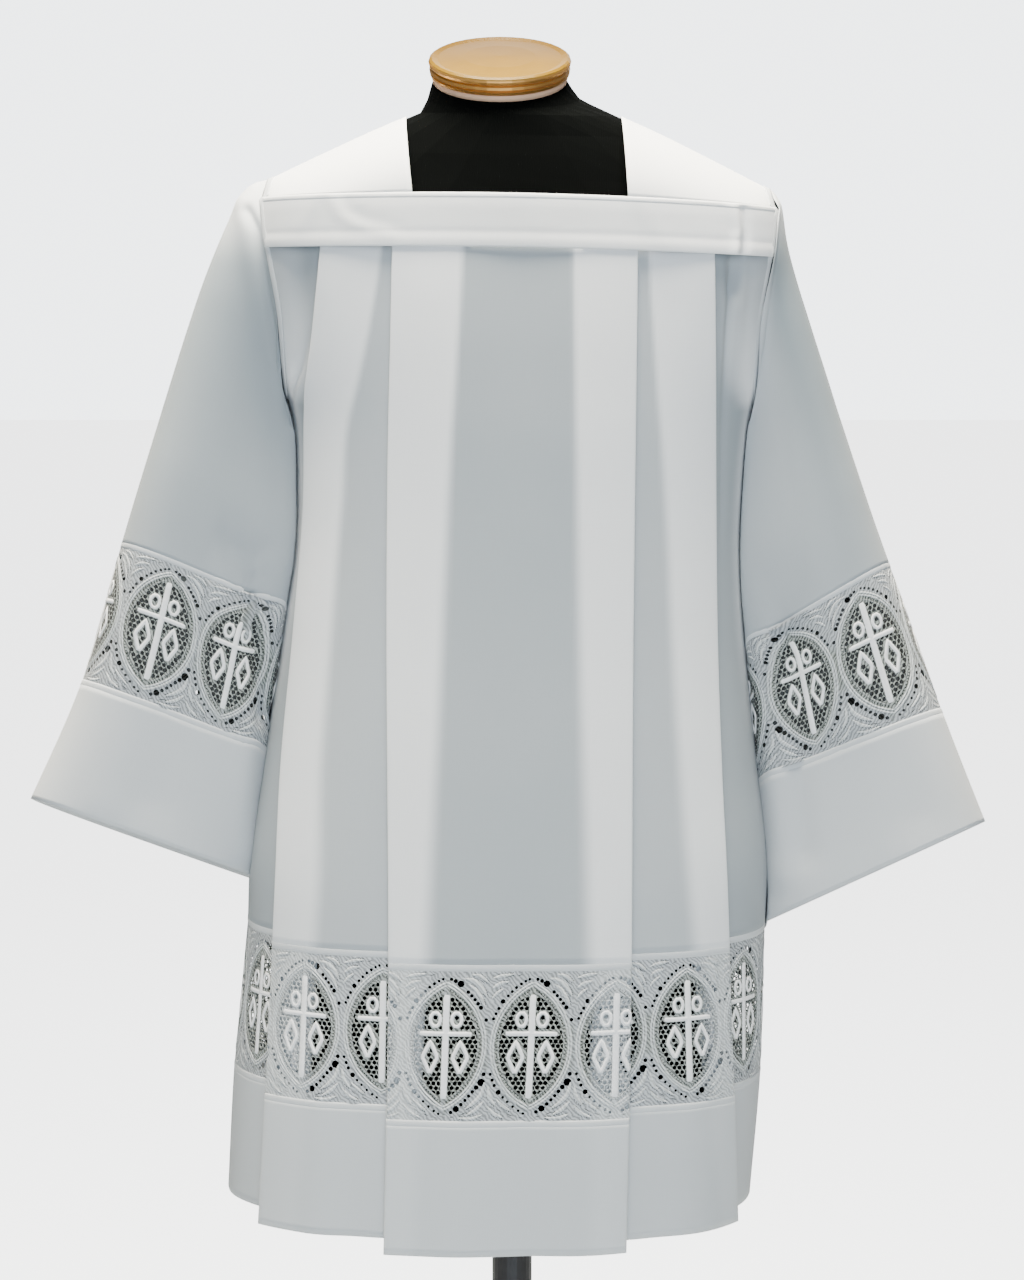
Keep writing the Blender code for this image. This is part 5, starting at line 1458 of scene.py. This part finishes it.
class SURPLICE_OT_yoke(bpy.types.Operator):
    """Builds the yoke: its level bands and its shoulder pieces"""
    bl_idname = "surplice.yoke"
    bl_label = "Yoke"

    def execute(self, context):
        low, high, proud = BAND_SEAM
        for face, where in FACES:
            grid, normal = band_grid(np.linspace(LEVELS[-2] - BAND_LAP, LEVELS[-1], BAND_ROWS), face, band_swell)
            piece, size = cotton("yoke_band_" + where + "_cloth", grid, normal, band_white_and_painted_light(grid[..., 0]), BAND_THICK)
            grid, normal = band_grid(np.linspace(LEVELS[-1] + low, LEVELS[-1] + high, BAND_SEAM_ROWS), face,
                                     lambda height: band_swell(height) + proud)
            seam = tape("yoke_band_seam_" + where, grid, normal, 0.0, BAND_SEAM_WHITE)
            settle(piece, ["yoke_band_" + where])
        for side, where in SIDES:
            ridges = np.linspace(NECK_RIDGE[side], SHOULDER[-1, 0], SHOULDER_ARCHES)
            grid = fallen([shoulder_arch(side, ridge) for ridge in ridges])
            normal = surface_normals(grid)
            normal *= np.sign(normal[..., 2].mean())
            piece, size = cotton("yoke_shoulder_" + where + "_cloth", grid, normal, np.ones(grid.shape[:2]))
            settle(piece, ["yoke_shoulder_" + where])
        return {"FINISHED"}


SLEEVE_ROWS, CUFF_ROWS, CUFF_WHITE = 64, 16, 0.42


def sleeve_white_and_painted_light(z, side):
    """How white a sleeve is: painted shade high up, where its slope takes the overhead light, all round on the left
    sleeve and on the outer side of the right one, with painted light on its inner side; white at the shoulder's seam;
    and painted light along its inner edge lower down, where it turns into the shade beside the body.
    """
    high, outward = ease(0.95, 1.30, z), ease(-0.15, 0.55, np.cos(TURN))
    painted_shade = 0.26 if side < 0 else 0.62 * outward - 0.22
    return (0.04 - painted_shade * high + 0.8 * ease(1.315, 1.375, z)
            + 0.6 * ease(0.9, 1.0, -np.cos(TURN)) * (1 - high))


class SURPLICE_OT_sleeves(bpy.types.Operator):
    """Builds the open sleeves and the cuff bands below their lace"""
    bl_idname = "surplice.sleeves"
    bl_label = "Sleeves"

    def execute(self, context):
        step = 1.2 * SEAM / LACE_WIDTH  # the seam's gap, in rings
        for side, where in SIDES:
            grid, normal = sleeve_grid(side, np.linspace(0, LACE_RING - step, SLEEVE_ROWS))
            white = sleeve_white_and_painted_light(grid[..., 2], side)
            piece, size = cotton("sleeve_" + where + "_cloth", grid, normal, white, closed=True)
            seam = tape("armhole_seam_" + where, *armhole_seam(side), 0.0, sink=0)
            settle(piece, ["sleeve_" + where])
            grid, normal = sleeve_grid(side, np.linspace(LACE_END + step, CUFF_END, CUFF_ROWS))
            white = np.full(grid.shape[:2], CUFF_WHITE)
            piece, size = cotton("cuff_" + where + "_cloth", grid, normal, white, closed=True)
            settle(piece, ["cuff_" + where])
        return {"FINISHED"}


WRONG_SIDE_PAINTED_SHADE = 0.05  # a painted shade: how much of its whiteness the wrong side of the sleeve's lace keeps


class SURPLICE_OT_sleeve_lace(bpy.types.Operator):
    """Builds the lace let into the sleeves"""
    bl_idname = "surplice.sleeve_lace"
    bl_label = "Sleeve Lace"

    def execute(self, context):
        half, middle = SLEEVE_COLUMNS // 2, LACE_ROWS // 2
        order = [*range(half, SLEEVE_COLUMNS), *range(half + 1)]
        for side, where in SIDES:
            rings = np.linspace(LACE_END, LACE_RING, LACE_ROWS)
            grid, normal = (part[:, order] for part in sleeve_grid(side, rings))
            across = flat_size(grid)[0][0]
            width = float(across[-1])
            x, y = grid[middle, :, 0], grid[middle, :, 1]
            near = min(np.flatnonzero(y < -0.02), key=lambda j: abs(x[j] - SLEEVE_MEDALLION[side]))
            # The rear half: its small cells are painted dark as shade, not cut.
            behind = across[y > np.median(y)]
            flat = Flat(grid, normal, across, np.linspace(0, LACE_WIDTH, LACE_ROWS))
            parts = [(0.0, width, float(across[near]), [(0.0, width)])]
            piece = lace_object("sleeve_lace_" + where, flat, parts, across[::4], WRONG_SIDE_PAINTED_SHADE,
                                (behind.min(), behind.max()))
            for level, low, high in (("top", LACE_RING - 0.04, LACE_RING + 0.012),
                                     ("low", LACE_END - 0.012, LACE_END + 0.04)):
                grid, normal = sleeve_grid(side, np.linspace(low, high, TAPE_ROWS))
                tape(f"sleeve_lace_{level}_tape_{where}", grid, normal, closed=True)
            settle(piece, [f"sleeve_lace_{where}_front", f"sleeve_lace_{where}_back"])
        return {"FINISHED"}


FORM_FINISHES = {"form_torso": "black_jersey_cover", "form_neck": "bare_neck", "neck_cap": "gilt_cap",
                 "form_pole": "stand_steel", "form_base": "stand_steel"}


class SURPLICE_OT_dress_form(bpy.types.Operator):
    """Finishes the dress form: its black cover, its gilt cap, the bare strip below it and its stand"""
    bl_idname = "surplice.dress_form"
    bl_label = "Dress Form"

    def execute(self, context):
        for node, finish in FORM_FINISHES.items():
            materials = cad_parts[node].data.materials
            materials.clear()
            materials.append(finish_named(finish))
        return {"FINISHED"}


CAMERA_AT, CAMERA_TO = (0, -4.0, 1.42), (0, 0, 0.991)
FLOOR_GLOW, ROOM_GLOW = 3.4, 4.0  # how bright the floor and the room are where the camera sees them
# The lights: name, place, what they point at, size, colour, and power as a share of a setting.
LIGHTS = (("overhead", (-0.1, -0.08, 3.5), (0, 0, 1.2), 1.3, (1.0, 0.93, 0.78), "overhead", 1.0),
          ("front", (0.3, -5.0, 1.5), (0, 0, 0.9), 3.2, (0.74, 0.87, 1.0), "front", 1.0),
          ("behind", (0.4, 3.4, 2.6), (0, 0, 1.0), 2.6, (0.95, 0.98, 1.0), "front", 0.3))


def aim(name, data, place, target):
    """A camera or light at a place, pointed at another."""
    made = link_object(name, data)
    made.location = place
    made.rotation_euler = (Vector(target) - Vector(place)).to_track_quat("-Z", "Y").to_euler()
    return made


def lit_where_seen(tree, strength, glow, least=0.0):
    """Give a socket of strength the least of it everywhere, and the glow besides where the camera sees it."""
    seen = add_node(tree, "ShaderNodeLightPath").outputs["Is Camera Ray"]
    tree.links.new(math_node(tree, "MULTIPLY_ADD", seen, glow, least), strength)


class SURPLICE_OT_stage(bpy.types.Operator):
    """Builds the pale floor, the soft lights and the camera"""
    bl_idname = "surplice.stage"
    bl_label = "Floor, Lights and Camera"

    def execute(self, context):
        look = context.scene.surplice_stage
        bpy.ops.object.select_all(action="DESELECT")
        bpy.ops.mesh.primitive_plane_add(size=40, location=(0, 0, 0))
        floor = context.active_object
        floor.name = "floor"
        finish = plain_finish("pale_floor", (0.44, 0.47, 0.50), 0.9, 0.0, 30.0, 0.02, 0.0005)
        floor.data.materials.append(finish)
        shader = finish.node_tree.nodes["Principled BSDF"]
        shader.inputs["Emission Color"].default_value = (0.99, 0.995, 1.0, 1)
        lit_where_seen(finish.node_tree, shader.inputs["Emission Strength"], FLOOR_GLOW)
        data = bpy.data.cameras.new("camera")
        data.lens, data.sensor_fit, data.sensor_width, data.sensor_height = 129.5, "VERTICAL", 28.8, 36.0
        context.scene.camera = aim("camera", data, CAMERA_AT, CAMERA_TO)
        for name, place, target, size, colour, setting, share in LIGHTS:
            data = bpy.data.lights.new(name, "AREA")
            data.size, data.energy, data.color = size, share * getattr(look, setting), colour
            aim(name, data, place, target)
        world = bpy.data.worlds.new("pale_world")
        world.use_nodes = True
        background = world.node_tree.nodes["Background"]
        background.inputs["Color"].default_value = (0.93, 0.97, 1.0, 1)
        lit_where_seen(world.node_tree, background.inputs["Strength"], ROOM_GLOW, look.ambient)
        context.scene.world = world
        return {"FINISHED"}


class SURPLICE_PT_panel(bpy.types.Panel):
    """Lists the pieces of the surplice and its settings"""
    bl_idname = "SURPLICE_PT_panel"
    bl_label = "Surplice"
    bl_space_type = "VIEW_3D"
    bl_region_type = "UI"
    bl_category = "Surplice"

    def draw(self, context):
        for name in ("surplice_cloth", "surplice_finish", "surplice_stage"):
            box = self.layout.box()
            group = getattr(context.scene, name)
            for setting in group.bl_rna.properties:
                if setting.identifier not in ("rna_type", "name"):
                    box.prop(group, setting.identifier)
        for step in STEPS:
            self.layout.operator(step.bl_idname)


STEPS = (SURPLICE_OT_pleated_panels, SURPLICE_OT_hem_lace, SURPLICE_OT_hem_bands, SURPLICE_OT_yoke, SURPLICE_OT_sleeves,
         SURPLICE_OT_sleeve_lace, SURPLICE_OT_dress_form, SURPLICE_OT_stage)
GROUPS = (("surplice_cloth", SurpliceClothSettings), ("surplice_finish", SurpliceFinishSettings),
          ("surplice_stage", SurpliceStageSettings))


def register():
    for name, group in GROUPS:
        bpy.utils.register_class(group)
        setattr(bpy.types.Scene, name, bpy.props.PointerProperty(type=group))
    for step in (*STEPS, SURPLICE_PT_panel):
        bpy.utils.register_class(step)


def unregister():
    for step in (SURPLICE_PT_panel, *STEPS[::-1]):
        bpy.utils.unregister_class(step)
    for name, group in GROUPS[::-1]:
        delattr(bpy.types.Scene, name)
        bpy.utils.unregister_class(group)


def main():
    register()
    for step in STEPS:
        family, name = step.bl_idname.split(".")
        getattr(getattr(bpy.ops, family), name)()


if __name__ == "__main__":
    main()
